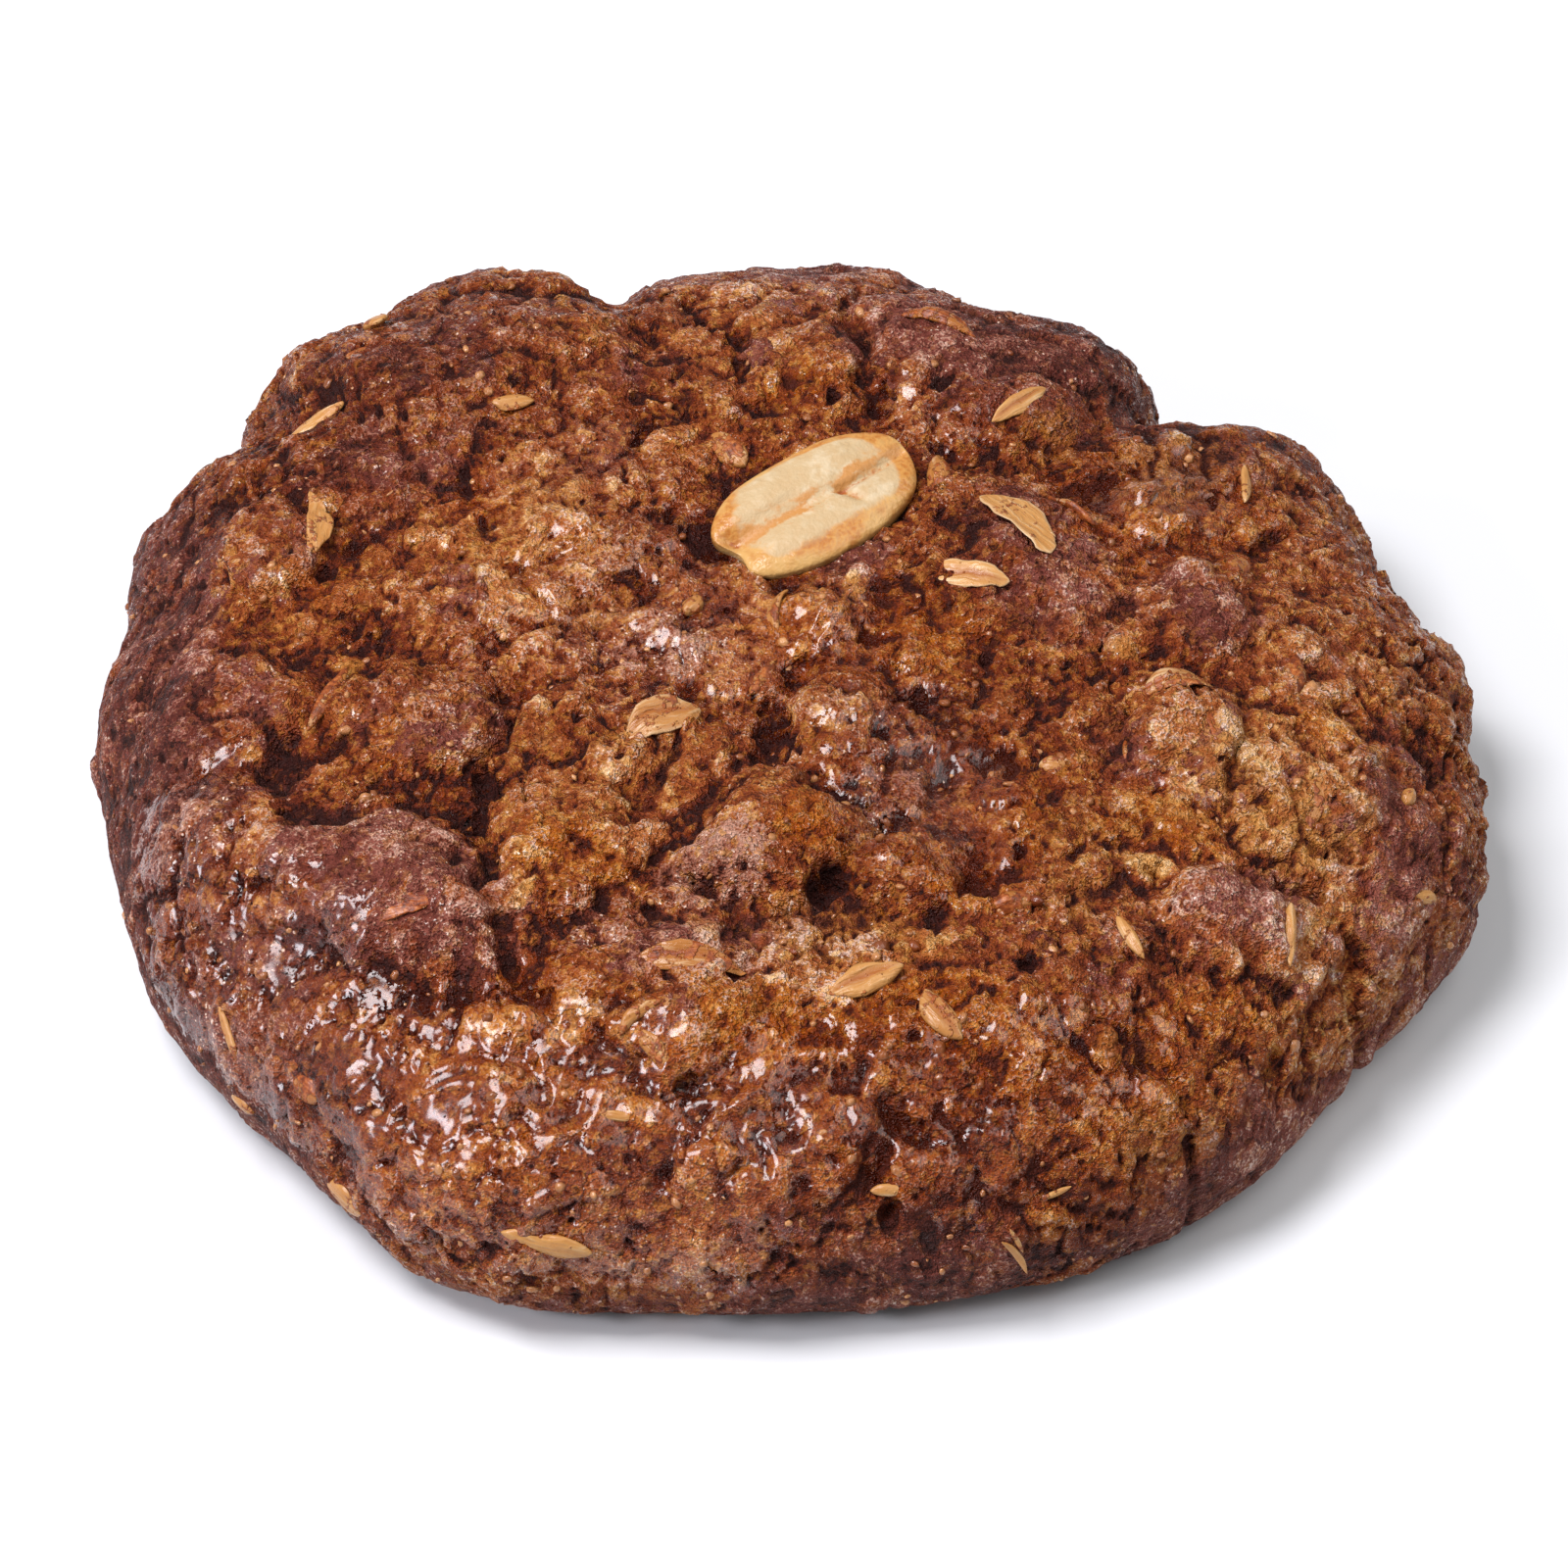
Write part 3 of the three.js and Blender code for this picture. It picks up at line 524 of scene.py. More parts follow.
def relief(x, y):
    """How far the skin stands out of the smooth shape: the highest lump, a dome over its ellipse, with a
    share of the next, plus the broad rises, less the furrows; then chunks, cracks and holes. All but the
    rises have ragged outlines, drawn in a plan that noise shifts."""
    out = np.zeros_like(x)
    plan = np.stack([x, y, 0 * x], -1)
    wobble_x, wobble_y = x, y
    for share, size, seed in WOBBLES:
        wobble_x = wobble_x + share * noise(plan, size, seed)
        wobble_y = wobble_y + share * noise(plan, size, seed + 1)
    for lump in LUMPS:
        dome = np.maximum(0, 1 - ellipse_share(wobble_x, wobble_y, lump) ** 1.3) ** 1.1
        height = LUMP_SHARE * lump[5] * dome
        out = np.maximum(out, height) + OVERLAP_SHARE * np.minimum(out, height)
    for middle_x, middle_y, half, height in RISES:
        out += height * bell(np.hypot(x - middle_x, y - middle_y), half)
    for course, depth, half in FURROWS:
        away = course_distance(wobble_x, wobble_y, course)
        out -= FURROW_SHARE * depth * bell(away, FURROW_NARROWING * half)
    for chunk in CHUNKS:
        slab = np.maximum(0, 1 - ellipse_share(wobble_x, wobble_y, chunk) ** (chunk[6] / 2)) ** 0.8
        out += CHUNK_SHARE * chunk[5] * slab
    for course, depth, half in CRACKS:
        away = course_distance(wobble_x, wobble_y, course)
        out -= CRACK_SHARE * depth * bell(away, CRACK_NARROWING * half)
    for hole in HOLES:
        out -= HOLE_SHARE * hole[5] * bell(np.sqrt(ellipse_share(wobble_x, wobble_y, hole)), HOLE_NARROWING)
    return out


def to_disc(u, v):
    """Share and angle of a point of the unit square: the square is drawn onto a disc by
    x = u sqrt(1 - v^2/2), y = v sqrt(1 - u^2/2), which has no pole, and turned by GRID_TURN."""
    x = u * np.sqrt(1 - v * v / 2)
    y = v * np.sqrt(1 - u * u / 2)
    return np.minimum(1, np.hypot(x, y)), np.arctan2(y, x) + GRID_TURN


def to_square(share, angle):
    """The square's u and v for a share and an angle: the inverse of to_disc."""
    x = share * np.cos(angle - GRID_TURN)
    y = share * np.sin(angle - GRID_TURN)
    root = 2 * math.sqrt(2)
    return tuple(
        sum(sign * np.sqrt(np.maximum(0, 2 + a * a - b * b + sign * root * a)) for sign in (1, -1)) / 2
        for a, b in ((x, y), (y, x))
    )


def over_plan(x, y):
    """The square's u and v of the top over a plan position."""
    angle = np.arctan2(y, x)
    top = STATION_SHARE[: int(len(STATION_SHARE) * WAIST_SHARE)]
    share = np.interp(np.hypot(x, y) / outline_scale(angle), STATION_RADIUS[: len(top)], top)
    return to_square(share, angle)


def on_side(angle, height):
    """The square's u and v of the side at an angle in degrees and a height."""
    share = np.interp(-np.asarray(height, float), -STATION_HEIGHT, STATION_SHARE)
    return to_square(share, np.radians(angle))


def smooth_skin(u, v):
    """Points of the skin with its lumps, cracks and holes, before its crumb: the meridian at the share,
    scaled by the outline, and moved along the meridian's normal by the relief."""
    share, angle = to_disc(u, v)
    (radius, height), ahead, behind = (
        (np.interp(at, STATION_SHARE, STATION_RADIUS), np.interp(at, STATION_SHARE, STATION_HEIGHT))
        for at in (share, np.clip(share + SLOPE_STEP, 0, 1), np.clip(share - SLOPE_STEP, 0, 1))
    )
    run, fall = ahead[0] - behind[0], ahead[1] - behind[1]
    slope = np.hypot(run, fall)
    run, fall = run / slope, fall / slope
    scale = outline_scale(angle)
    x = radius * scale * np.cos(angle)
    y = radius * scale * np.sin(angle)
    rise = relief(x, y) * ramp(height, 0, SET_LEVEL)
    outward = -fall * rise
    z = height + run * rise
    seat = ellipse_share(x, y, SEAT)
    z = np.where(seat < 1, np.minimum(z, SEAT[5] + SEAT_RISE * seat), z)
    return np.stack([x + outward * np.cos(angle), y + outward * np.sin(angle), z], -1)


def skin_normals(u, v):
    """Outward normals of smooth_skin: the cross product of its slopes along u and v."""
    along, across = (
        smooth_skin(np.minimum(u + du, 1), np.minimum(v + dv, 1))
        - smooth_skin(np.maximum(u - du, -1), np.maximum(v - dv, -1))
        for du, dv in ((NORMAL_STEP, 0), (0, NORMAL_STEP))
    )
    return unit(np.cross(along, across))


def patches(points, spots, seed):
    """How much a finish covers each point: the strongest of its patches, the root of 1 - q of the ellipse,
    broken up by layered noise."""
    x, y = points[..., 0], points[..., 1]
    cover = np.zeros_like(x)
    for spot in spots:
        cover = np.maximum(cover, spot[5] * np.sqrt(np.maximum(0, 1 - ellipse_share(x, y, spot))))
    return np.clip(cover + 0.5 * layered(points, 3.4, 4, seed, 0.6) - 0.08, 0, 1)


def finishes(points):
    """The masks of the finishes at points of the skin."""
    x, y, z = np.moveaxis(points, -1, 0)
    low_side = 1 - ramp(z, *LOW_SIDE)
    skin, amber, frost_and_sheen, gloss, tan = (patches(points, spots, seed) for spots, seed in FINISH_PATCHES)
    # The low side is given the darker, purple skin: partly its smoother crust, partly painted shade and
    # painted reflection of the floor.
    skin = np.clip(skin + 0.8 * low_side * (0.7 + 0.5 * layered(points, 2.6, 3, 231)), 0, 1)
    oats, oat_tone = buried_oats(points, 5.2, 241)
    # Painted light and shade, in part also darker and paler baking, from the spots.
    shade = sum(spot[5] * bell(np.sqrt(ellipse_share(x, y, spot)), 1) for spot in PAINTED_LIGHT_AND_SHADE_SPOTS)
    return {
        "oats": oats * np.clip(0.9 + 0.9 * layered(points, 1.6, 3, 251), 0, 1) * (1 - 0.5 * skin),
        "oat_tone": oat_tone,
        "skin": skin,
        "amber": amber * (1 - 0.7 * low_side),
        "frost_and_sheen": frost_and_sheen * ramp(z, *FROST_AND_SHEEN_LEVELS),
        "gloss": gloss * (1 - 0.9 * low_side) * (1 - 0.7 * ramp(-x, 39, 43)),
        "tan": tan,
        "shade": 0.5 + 0.25 * shade,
    }


def crumb(points, masks, clod, grain, pit):
    """Height of the crumb over the smooth skin: tilted broken pieces in four sizes with cracks between some
    of them, flakes under the skin, layered roughness, and round pits. Smooth skin has less of each, and wet
    crumb has soft waves. Also a mask of the pits."""
    skin, gloss, tan = masks["skin"], masks["gloss"], masks["tan"]
    broken = 1 - 0.6 * skin
    shift, small_shift = (
        np.stack([noise(points, size, seed + axis) for axis in range(3)], -1)
        for size, seed in ((3.1, 21), (1.1, 24))
    )
    bent = points + 1.1 * shift + 0.3 * small_shift
    height = (0.5 + 0.5 * broken) * shards(bent, 1.9 * clod, 331, 0.07)[0]
    piece, edge, tag = shards(bent, clod, 31, 0.13)
    height += (0.35 + 0.65 * broken) * piece
    height -= 0.36 * broken * (1 - ramp(edge, 0, 0.45)) * ramp(tag, 0.35, 0.65)
    piece, edge, tag = shards(bent, 0.42 * clod, 131, 0.14)
    height += broken * (1 - 0.45 * gloss) * (piece - 0.26 * (1 - ramp(edge, 0, 0.36)) * ramp(tag, 0.4, 0.6))
    piece = shards(points + 0.25 * small_shift, grain, 231, 0.14)[0]
    height += broken * (0.6 + 0.6 * tan) * (1 - 0.7 * gloss) * piece
    height += 0.3 * masks["oats"] + 0.24 * layered(points, 4.6, 4, 43, 0.55)
    height += (0.08 + 0.06 * gloss) * layered(points, 1.5, 2, 48, 0.6)
    pits = 0.0
    for size, seed, share in ((2.6, 51, 0.32), (1.5, 61, 0.34)):
        near, tag = nearest_spot(points + 0.3 * small_shift, size * pit, seed)
        radius = size * pit * (0.10 + 0.21 * (tag / share) ** 2)
        open_here = tag < share * (1 - 0.8 * skin) * (1 - 0.4 * gloss) * (1 - 0.9 * masks["oats"])
        hollow = np.where(open_here, 1 - ramp(near / radius, 0.45, 1.15), 0)
        height -= hollow * (0.2 + 1.1 * radius)
        pits = np.maximum(pits, hollow)
    return height, pits


def dough(u, v, sizes):
    """Points and normals of the finished skin at the square's u and v, with its masks, the height of its
    crumb and the mask of its pits. sizes are those of clods and grains, and the scale of the pits."""
    points = smooth_skin(u, v)
    normals = skin_normals(u, v)
    masks = finishes(points)
    height, pits = crumb(points, masks, *sizes)
    height = height * ramp(points[..., 2], 0, CRUMB_LEVEL)
    return points + normals * height[..., None], normals, masks, height, pits


def crumb_sizes(context):
    """The settings of the crumb, in millimetres."""
    settings = context.scene.cookie_dough
    return settings.clod / MM, settings.grain / MM, settings.pit_scale


def blurred(grid, reach):
    """The grid averaged with a bell of half width reach cells, first along its rows, then its columns."""
    steps = np.arange(-2 * reach, 2 * reach + 1)
    weights = bell(steps, reach)
    weights = weights / weights.sum()
    for axis in (0, 1):
        padded = np.pad(grid, [(2 * reach, 2 * reach) if a == axis else (0, 0) for a in (0, 1)], mode="edge")
        rows = grid.shape[axis]
        grid = sum(
            weight * np.take(padded, np.arange(i, i + rows), axis=axis) for i, weight in enumerate(weights)
        )
    return grid


# ---- Meshes ----

def make_piece(name, points, triangles, colours, material):
    """An object named name from points in millimetres, triangles, and colour attributes by name. It rides
    on the only body."""
    mesh = bpy.data.meshes.new(name)
    mesh.from_pydata((points - MIDDLE) * MM, (), triangles)
    for label, values in colours.items():
        attribute = mesh.attributes.new(label, "FLOAT_COLOR", "POINT")
        rgba = np.ones((len(points), 4), np.float32)
        rgba[:, :3] = values
        attribute.data.foreach_set("color", rgba.ravel())
    mesh.shade_smooth()
    mesh.materials.append(material)
    piece = bpy.data.objects.new(name, mesh)
    bpy.context.scene.collection.objects.link(piece)
    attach(piece, "root")
    return piece


def grid_triangles(rows, columns):
    """Two triangles for each cell of a grid of points, anticlockwise as seen from outside."""
    start = (np.arange(rows - 1)[:, None] * columns + np.arange(columns - 1)).ravel()
    across, up = start + columns + 1, start + columns
    return np.concatenate([np.stack([start, start + 1, across], 1), np.stack([start, across, up], 1)])


def shell_triangles(rings, sides):
    """Triangles of a closed shell: a first pole, rings of sides points each, and a last pole."""
    i = np.arange(sides)
    j = (i + 1) % sides
    first, tail, last = 0 * i, 1 + (rings - 1) * sides, 0 * i + rings * sides + 1
    upper = (1 + np.arange(rings - 1) * sides)[:, None]
    lower = upper + sides
    corners = (
        (first, 1 + i, 1 + j), (upper + i, lower + i, lower + j), (upper + i, lower + j, upper + j),
        (last, tail + j, tail + i),
    )
    return np.concatenate([np.stack([corner.ravel() for corner in three], 1) for three in corners])


def repeated(triangles, count, points_each):
    """The same triangles for count shells of points_each points, one after another."""
    return (triangles[None] + points_each * np.arange(count)[:, None, None]).reshape(-1, 3)


def tangents(normals, headings):
    """For each normal, two tangents: the first looks along its heading in radians, seen in the plan."""
    along = np.stack([np.cos(headings), np.sin(headings), 0 * headings], -1)
    along = unit(along - normals * (along * normals).sum(-1, keepdims=True))
    return along, np.cross(normals, along)


# ---- Materials ----

def paint(red, green, blue):
    """A colour of the usual 0 to 255 scale as the linear colour that shaders take."""
    values = np.array([red, green, blue]) / 255
    linear = np.where(values <= 0.04045, values / 12.92, ((values + 0.055) / 1.055) ** 2.4)
    return tuple(float(value) for value in linear)


# Each finish from its darkest tone, which hollows take as painted shade, to its palest, on ridges; the
# frost's pale colours are partly painted sheen.
PALETTE = {
    name: [paint(*colour) for colour in colours]
    for name, colours in {
        "crumb": ((42, 5, 0), (92, 30, 4), (128, 58, 18), (160, 90, 40), (192, 134, 84)),
        "syrup": ((62, 15, 1), (104, 37, 2), (137, 63, 4), (170, 98, 24), (204, 138, 66)),
        "skin": ((40, 8, 3), (79, 30, 20), (106, 50, 40), (130, 72, 60), (162, 110, 95)),
        "frost_and_sheen": ((76, 30, 18), (126, 72, 54), (158, 106, 86), (186, 142, 122), (212, 182, 168)),
        "tan": ((56, 15, 1), (109, 53, 18), (144, 86, 36), (174, 118, 61), (204, 160, 108)),
        "gold": ((66, 20, 1), (124, 66, 15), (160, 98, 35), (188, 132, 66), (218, 174, 116)),
    }.items()
}


def feed(tree, node, inputs):
    """Sets a node's inputs to values, or links them from sockets."""
    for key, value in dict(inputs).items():
        if isinstance(value, bpy.types.NodeSocket):
            tree.links.new(value, node.inputs[key])
        else:
            node.inputs[key].default_value = value


def add_node(tree, kind, inputs=(), **settings):
    """A node with its settings and inputs."""
    node = tree.nodes.new("ShaderNode" + kind)
    for key, value in settings.items():
        setattr(node, key, value)
    feed(tree, node, inputs)
    return node


def maths(tree, operation, *values, clamp=False):
    """The result of a Math node."""
    return add_node(tree, "Math", enumerate(values), operation=operation, use_clamp=clamp).outputs[0]


def blend_colours(tree, factor, a, b):
    """Colour a turned into colour b by the factor."""
    a, b = (value if isinstance(value, bpy.types.NodeSocket) else (*value, 1) for value in (a, b))
    return add_node(tree, "Mix", {0: factor, 6: a, 7: b}, data_type="RGBA").outputs[2]


def laid_over(tree, colour, *layers):
    """The colour with other colours laid over it in turn, each by its mask."""
    for mask, layer in layers:
        colour = blend_colours(tree, mask, colour, layer)
    return colour


def levels(tree, value, low, high, out_low=0, out_high=1):
    """The value carried smoothly from low..high to out_low..out_high, and held there outside."""
    inputs = enumerate((value, low, high, out_low, out_high))
    return add_node(tree, "MapRange", inputs, interpolation_type="SMOOTHSTEP").outputs[0]


def tone_ramp(tree, value, colours):
    """A colour for a value from 0 to 1, through evenly spaced colours."""
    node = add_node(tree, "ValToRGB", {0: value})
    stops = node.color_ramp.elements
    while len(stops) < len(colours):
        stops.new(0.5)
    for index, colour in enumerate(colours):
        stops[index].position = index / (len(colours) - 1)
        stops[index].color = (*colour, 1)
    return node.outputs[0]


def weighed(tree, base, *parts):
    """base plus, for each part, its value less its middle, or less 0.5 where none is given, times its
    weight."""
    middles = sum(weight * (middle[0] if middle else 0.5) for value, weight, *middle in parts)
    total = maths(tree, "SUBTRACT", base, middles)
    for value, weight, *_ in parts:
        total = maths(tree, "MULTIPLY_ADD", value, weight, total)
    return total


def channels(tree, colour):
    """The three channels of a colour."""
    return add_node(tree, "SeparateColor", {0: colour}).outputs[:3]


def masks_of(tree, label):
    """The three masks that a piece carries in a colour attribute."""
    return channels(tree, add_node(tree, "Attribute", attribute_name=label).outputs["Color"])


def voronoi(tree, point, scale):
    """A Voronoi pattern: the distance from its cells' middles, and three random numbers for each cell."""
    node = add_node(tree, "TexVoronoi", {"Vector": point, "Scale": scale})
    return node.outputs["Distance"], channels(tree, node.outputs["Color"])


def dots(tree, distance, tag, rare, widest, soft):
    """A mask of a round dot in each cell, of a radius that its tag sets, up to widest, and none in the share
    rare of the cells."""
    radius = levels(tree, tag, rare, 1, -soft, widest)
    return levels(tree, maths(tree, "SUBTRACT", distance, radius), -soft, soft, 1, 0)


def cloud(tree, point, scale, detail=2.0, roughness=0.5):
    """A noise pattern's node."""
    inputs = {"Vector": point, "Scale": scale, "Detail": detail, "Roughness": roughness}
    return add_node(tree, "TexNoise", inputs)


def crumb_group():
    """The node group of baked crumb. Point is a place in millimetres. Height and Wet Height are the fine
    bump of dry and of glazed crumb. Grain is the tone of granules of 0.2 to 0.4 mm, and Plates that of
    pieces of 2.4 mm. Gold, Pits, Specks, Seams and Glints are masks of golden granules, open pores, pale
    grains, the cracks between plates and painted sparkles, pale dots of colour. Sparkle, Fine, Mottle and
    Blotch are noise of 0.2, 0.3, 1 and 4 mm."""
    name = "Baked crumb"
    if name in bpy.data.node_groups:
        return bpy.data.node_groups[name]
    group = bpy.data.node_groups.new(name, "ShaderNodeTree")
    group.interface.new_socket("Point", in_out="INPUT", socket_type="NodeSocketVector")
    point = group.nodes.new("NodeGroupInput").outputs["Point"]
    warp = cloud(group, point, 1.9).outputs["Color"]

    def warped(reach):
        """The point shifted by soft noise."""
        shift = add_node(group, "VectorMath", {0: warp, 3: reach}, operation="SCALE").outputs[0]
        return add_node(group, "VectorMath", {0: point, 1: shift}, operation="ADD").outputs[0]

    def more_dots(scale, *shape, place=point):
        """A mask of dots that have a pattern of their own."""
        distance, tags = voronoi(group, place, scale)
        return dots(group, distance, tags[0], *shape)

    moved, bent = warped(0.8), warped(1.1)
    fine = cloud(group, point, 3.0, 1.6, 0.6).outputs[0]
    mottle = cloud(group, point, 1.05, 3.0, 0.62).outputs[0]
    coarse, (coarse_tag, gold_tag, pore_tag) = voronoi(group, moved, 2.3)
    small, (small_tag, *_) = voronoi(group, moved, 4.6)
    sparkle = cloud(group, point, 6.0, 1.0).outputs[0]
    speck_tag = maths(group, "SUBTRACT", 1, pore_tag)
    pits = maths(group, "MAXIMUM", more_dots(1.25, 0.6, 0.30, 0.08, place=moved),
                 dots(group, coarse, pore_tag, 0.35, 0.34, 0.10))
    plate_tag, seam_tag, _ = voronoi(group, bent, 0.42)[1]
    edges = add_node(group, "TexVoronoi", {"Vector": bent, "Scale": 0.42}, feature="DISTANCE_TO_EDGE")
    open_seams = levels(group, weighed(group, seam_tag, (mottle, 1.5)), 0.4, 0.6)
    seams = maths(group, "MULTIPLY", levels(group, edges.outputs["Distance"], 0, 0.07, 1, 0), open_seams)
    outputs = {
        "Height": weighed(group, 0.5, (seams, -0.6, 0), (sparkle, 0.9), (fine, 1.1), (mottle, 0.9),
                          (coarse, -0.8, 0.4), (small, -0.45, 0.4), (pits, -0.9, 0)),
        "Wet Height": weighed(group, 0.5, (seams, -0.5, 0), (sparkle, 0.8), (fine, 0.9), (mottle, 1.3),
                              (pits, -0.6, 0), (small, -0.25, 0.4)),
        "Grain": weighed(group, 0.5, (coarse_tag, 0.5), (coarse, -0.5, 0.4), (small_tag, 0.5),
                         (small, -0.4, 0.4)),
        "Gold": levels(group, weighed(group, gold_tag, (mottle, 1.2)), 0.70, 0.86),
        "Pits": pits,
        "Specks": maths(group, "MAXIMUM", more_dots(0.95, 0.80, 0.40, 0.07, place=moved),
                        dots(group, coarse, speck_tag, 0.6, 0.34, 0.10)),
        "Glints": maths(group, "MAXIMUM", more_dots(4.4, 0.55, 0.36, 0.12),
                        more_dots(2.9, 0.75, 0.30, 0.10, place=moved)),
        "Plates": plate_tag,
        "Seams": seams,
        "Sparkle": sparkle,
        "Fine": fine,
        "Mottle": mottle,
        "Blotch": cloud(group, point, 0.26, 3.0, 0.6).outputs[0],
    }
    for label in outputs:
        group.interface.new_socket(label, in_out="OUTPUT", socket_type="NodeSocketFloat")
    feed(group, group.nodes.new("NodeGroupOutput"), outputs)
    return group


def new_material(name):
    """A material with a tree of its shader and output; returns it, its tree, the shader, and the outputs of
    the crumb group, fed with the object's own coordinates in millimetres."""
    material = bpy.data.materials.new(name)
    material.use_nodes = True
    tree = material.node_tree
    tree.nodes.clear()
    shader = tree.nodes.new("ShaderNodeBsdfPrincipled")
    feed(tree, tree.nodes.new("ShaderNodeOutputMaterial"), {0: shader.outputs[0]})
    place = tree.nodes.new("ShaderNodeTexCoord").outputs["Object"]
    point = add_node(tree, "VectorMath", {0: place, 3: 1 / MM}, operation="SCALE").outputs[0]
    return material, tree, shader, add_node(tree, "Group", {"Point": point}, node_tree=crumb_group()).outputs


def finish(tree, shader, colour, roughness, ior, height, depth, strength=1.0, **coat):
    """Feeds the shader: colour, roughness and index of refraction, a bump of the height with its depth in
    metres, and what its coat has."""
    bump = add_node(tree, "Bump", {"Strength": strength, "Distance": depth, "Height": height})
    feed(tree, shader, {"Base Color": colour, "Roughness": roughness, "IOR": ior, "Normal": bump.outputs[0]})
    feed(tree, shader, {"Coat " + key: value for key, value in coat.items()})


def dough_material():
    """Baked dough. A tone from 0 to 1 picks a colour from the ramp of each finish; besides its random grain
    and noise, it is low in hollows, cracks and pores and a little higher on ridges, which is painted shade
    and light, and lower or higher in the painted spots of shade and light. The masks blend the finishes:
    brown crumb, amber syrup, tan crumb, purple-brown skin and pale lavender frost, which is partly painted
    sheen, with golden granules and buried flakes in them, and pale dots of painted sparkle. The syrup has a
    clear coat."""
    material, tree, shader, crumbs = new_material("baked_dough")
    fine, mottle, blotch, grain = (crumbs[label] for label in ("Fine", "Mottle", "Blotch", "Grain"))
    pits, sparkle, plates, seams = (crumbs[label] for label in ("Pits", "Sparkle", "Plates", "Seams"))
    skin, amber, frost_and_sheen = masks_of(tree, "finish")
    cavity, gloss, tan = masks_of(tree, "surface")
    oats, oat_tone, open_pits = masks_of(tree, "inclusions")
    shade = add_node(tree, "Attribute", attribute_name="shade").outputs["Fac"]

    # How deep a point lies in a hollow, less where glossy: it darkens the tone as painted shade, and keeps
    # glints and coat out of hollows.
    hollow = maths(tree, "MULTIPLY", levels(tree, cavity, 0.42, 0.95), levels(tree, gloss, 0.4, 0.9, 1, 0.45))
    # The tone: random grain and noise, lowered by hollow, cavity, seams and open pits as painted shade in
    # hollows, cracks and pores, and moved by the spots of painted light and shade.
    tone = weighed(tree, 0.535, (grain, 0.24), (fine, 0.28), (sparkle, 0.16), (mottle, 0.7), (blotch, 0.55),
                   (plates, 0.25), (seams, -0.12, 0), (hollow, -0.5, 0), (cavity, -0.3), (oats, 0.12, 0),
                   (open_pits, -0.3, 0), (shade, 0.8))
    # Pits darken the tone further, as painted shade in the open pores, less on smooth skin.
    holes = maths(tree, "MULTIPLY", pits, levels(tree, skin, 0.3, 1, 0.26, 0.16))
    tone = maths(tree, "SUBTRACT", tone, holes, clamp=True)
    browned = weighed(tree, skin, (mottle, 1.6), (blotch, 0.8), (plates, -0.5))
    # The frost's cover, partly pale bloom and partly painted sheen, less in hollows.
    frost_and_sheen_cover = weighed(tree, frost_and_sheen, (fine, 2), (mottle, 1), (sparkle, 1.5), (skin, 0.25), (cavity, -0.8),
                     (plates, 0.45))
    gilt = maths(tree, "MAXIMUM", crumbs["Gold"], crumbs["Specks"])
    gilt = maths(tree, "MULTIPLY", gilt, levels(tree, skin, 0.2, 0.9, 0.6, 0.28))
    under = levels(tree, weighed(tree, oats, (mottle, 0.9)), 0.3, 0.9)
    under = maths(tree, "MULTIPLY", under, levels(tree, oat_tone, 0.3, 0.9, 0.15, 0.8))
    colour = tone_ramp(tree, tone, PALETTE["crumb"])
    for name, mask, low, high, most in (
        ("syrup", weighed(tree, amber, (mottle, 1.2)), 0.15, 0.6, 1),
        ("tan", weighed(tree, tan, (mottle, 1.2)), 0.35, 0.8, 0.85),
        ("skin", browned, 0.28, 0.75, 0.95),
        ("frost_and_sheen", frost_and_sheen_cover, 0.22, 0.85, 0.85),
        ("gold", maths(tree, "MAXIMUM", gilt, under), 0, 1, 1),
    ):
        laid = tone_ramp(tree, tone, PALETTE[name])
        colour = blend_colours(tree, levels(tree, mask, low, high, 0, most), colour, laid)
    # Where the painted glints go: pale dots of colour that stand for sparkles of the lamps, fewer in syrup
    # and hollows.
    painted_glint_cover = weighed(tree, 0.44, (mottle, 2.6), (blotch, 1), (gloss, 0.2, 0.3), (frost_and_sheen, 0.6, 0.2),
                      (amber, -0.6, 0), (hollow, -0.7, 0))
    painted_glints = maths(tree, "MULTIPLY", crumbs["Glints"], levels(tree, painted_glint_cover, 0.27, 0.7, 0, 0.95))
    colour = blend_colours(tree, painted_glints, colour, paint(224, 194, 174))

    wet = levels(tree, weighed(tree, gloss, (blotch, 1.2), (mottle, 0.9), (skin, -0.35, 0)), 0.1, 0.65)
    damp = weighed(tree, 0.26, (wet, 0.6, 0), (sparkle, 1.8), (mottle, 1.1), (hollow, -0.3, 0), (skin, -0.25))
    glaze = weighed(tree, wet, (fine, 2), (sparkle, 0.8), (mottle, 1.4), (pits, -0.6, 0), (seams, -0.8, 0),
                    (hollow, -0.9, 0))
    glaze = maths(tree, "MULTIPLY", levels(tree, glaze, 0.25, 0.6), levels(tree, hollow, 0.3, 0.9, 1, 0.2))
    dry = crumbs["Height"]
    calm = maths(tree, "MAXIMUM", wet, levels(tree, skin, 0.3, 1, 0, 0.6))
    height = maths(tree, "MULTIPLY_ADD", calm, maths(tree, "SUBTRACT", crumbs["Wet Height"], dry), dry)
    finish(tree, shader, colour, levels(tree, damp, 0.25, 0.55, 0.62, 0.14), 1.28, height, 0.31 * MM,
           Weight=glaze, Roughness=0.16, IOR=1.42)
    return material


def grain_material():
    """Sugar and nut grains: amber to pale tan, one tone for each grain, glossy where the dough is wet."""
    material, tree, shader, crumbs = new_material("nut_crumbs")
    tone, dark, wet = masks_of(tree, "finish")
    colour = laid_over(
        tree, paint(112, 50, 16), (tone, paint(190, 136, 86)),
        (levels(tree, crumbs["Fine"], 0.35, 0.7, 0.4, 0), paint(104, 46, 14)), (dark, paint(92, 38, 16)))
    roughness = levels(tree, wet, 0, 1, 0.26, 0.10)
    finish(tree, shader, colour, roughness, 1.46, crumbs["Wet Height"], 0.06 * MM, 0.6)
    return material


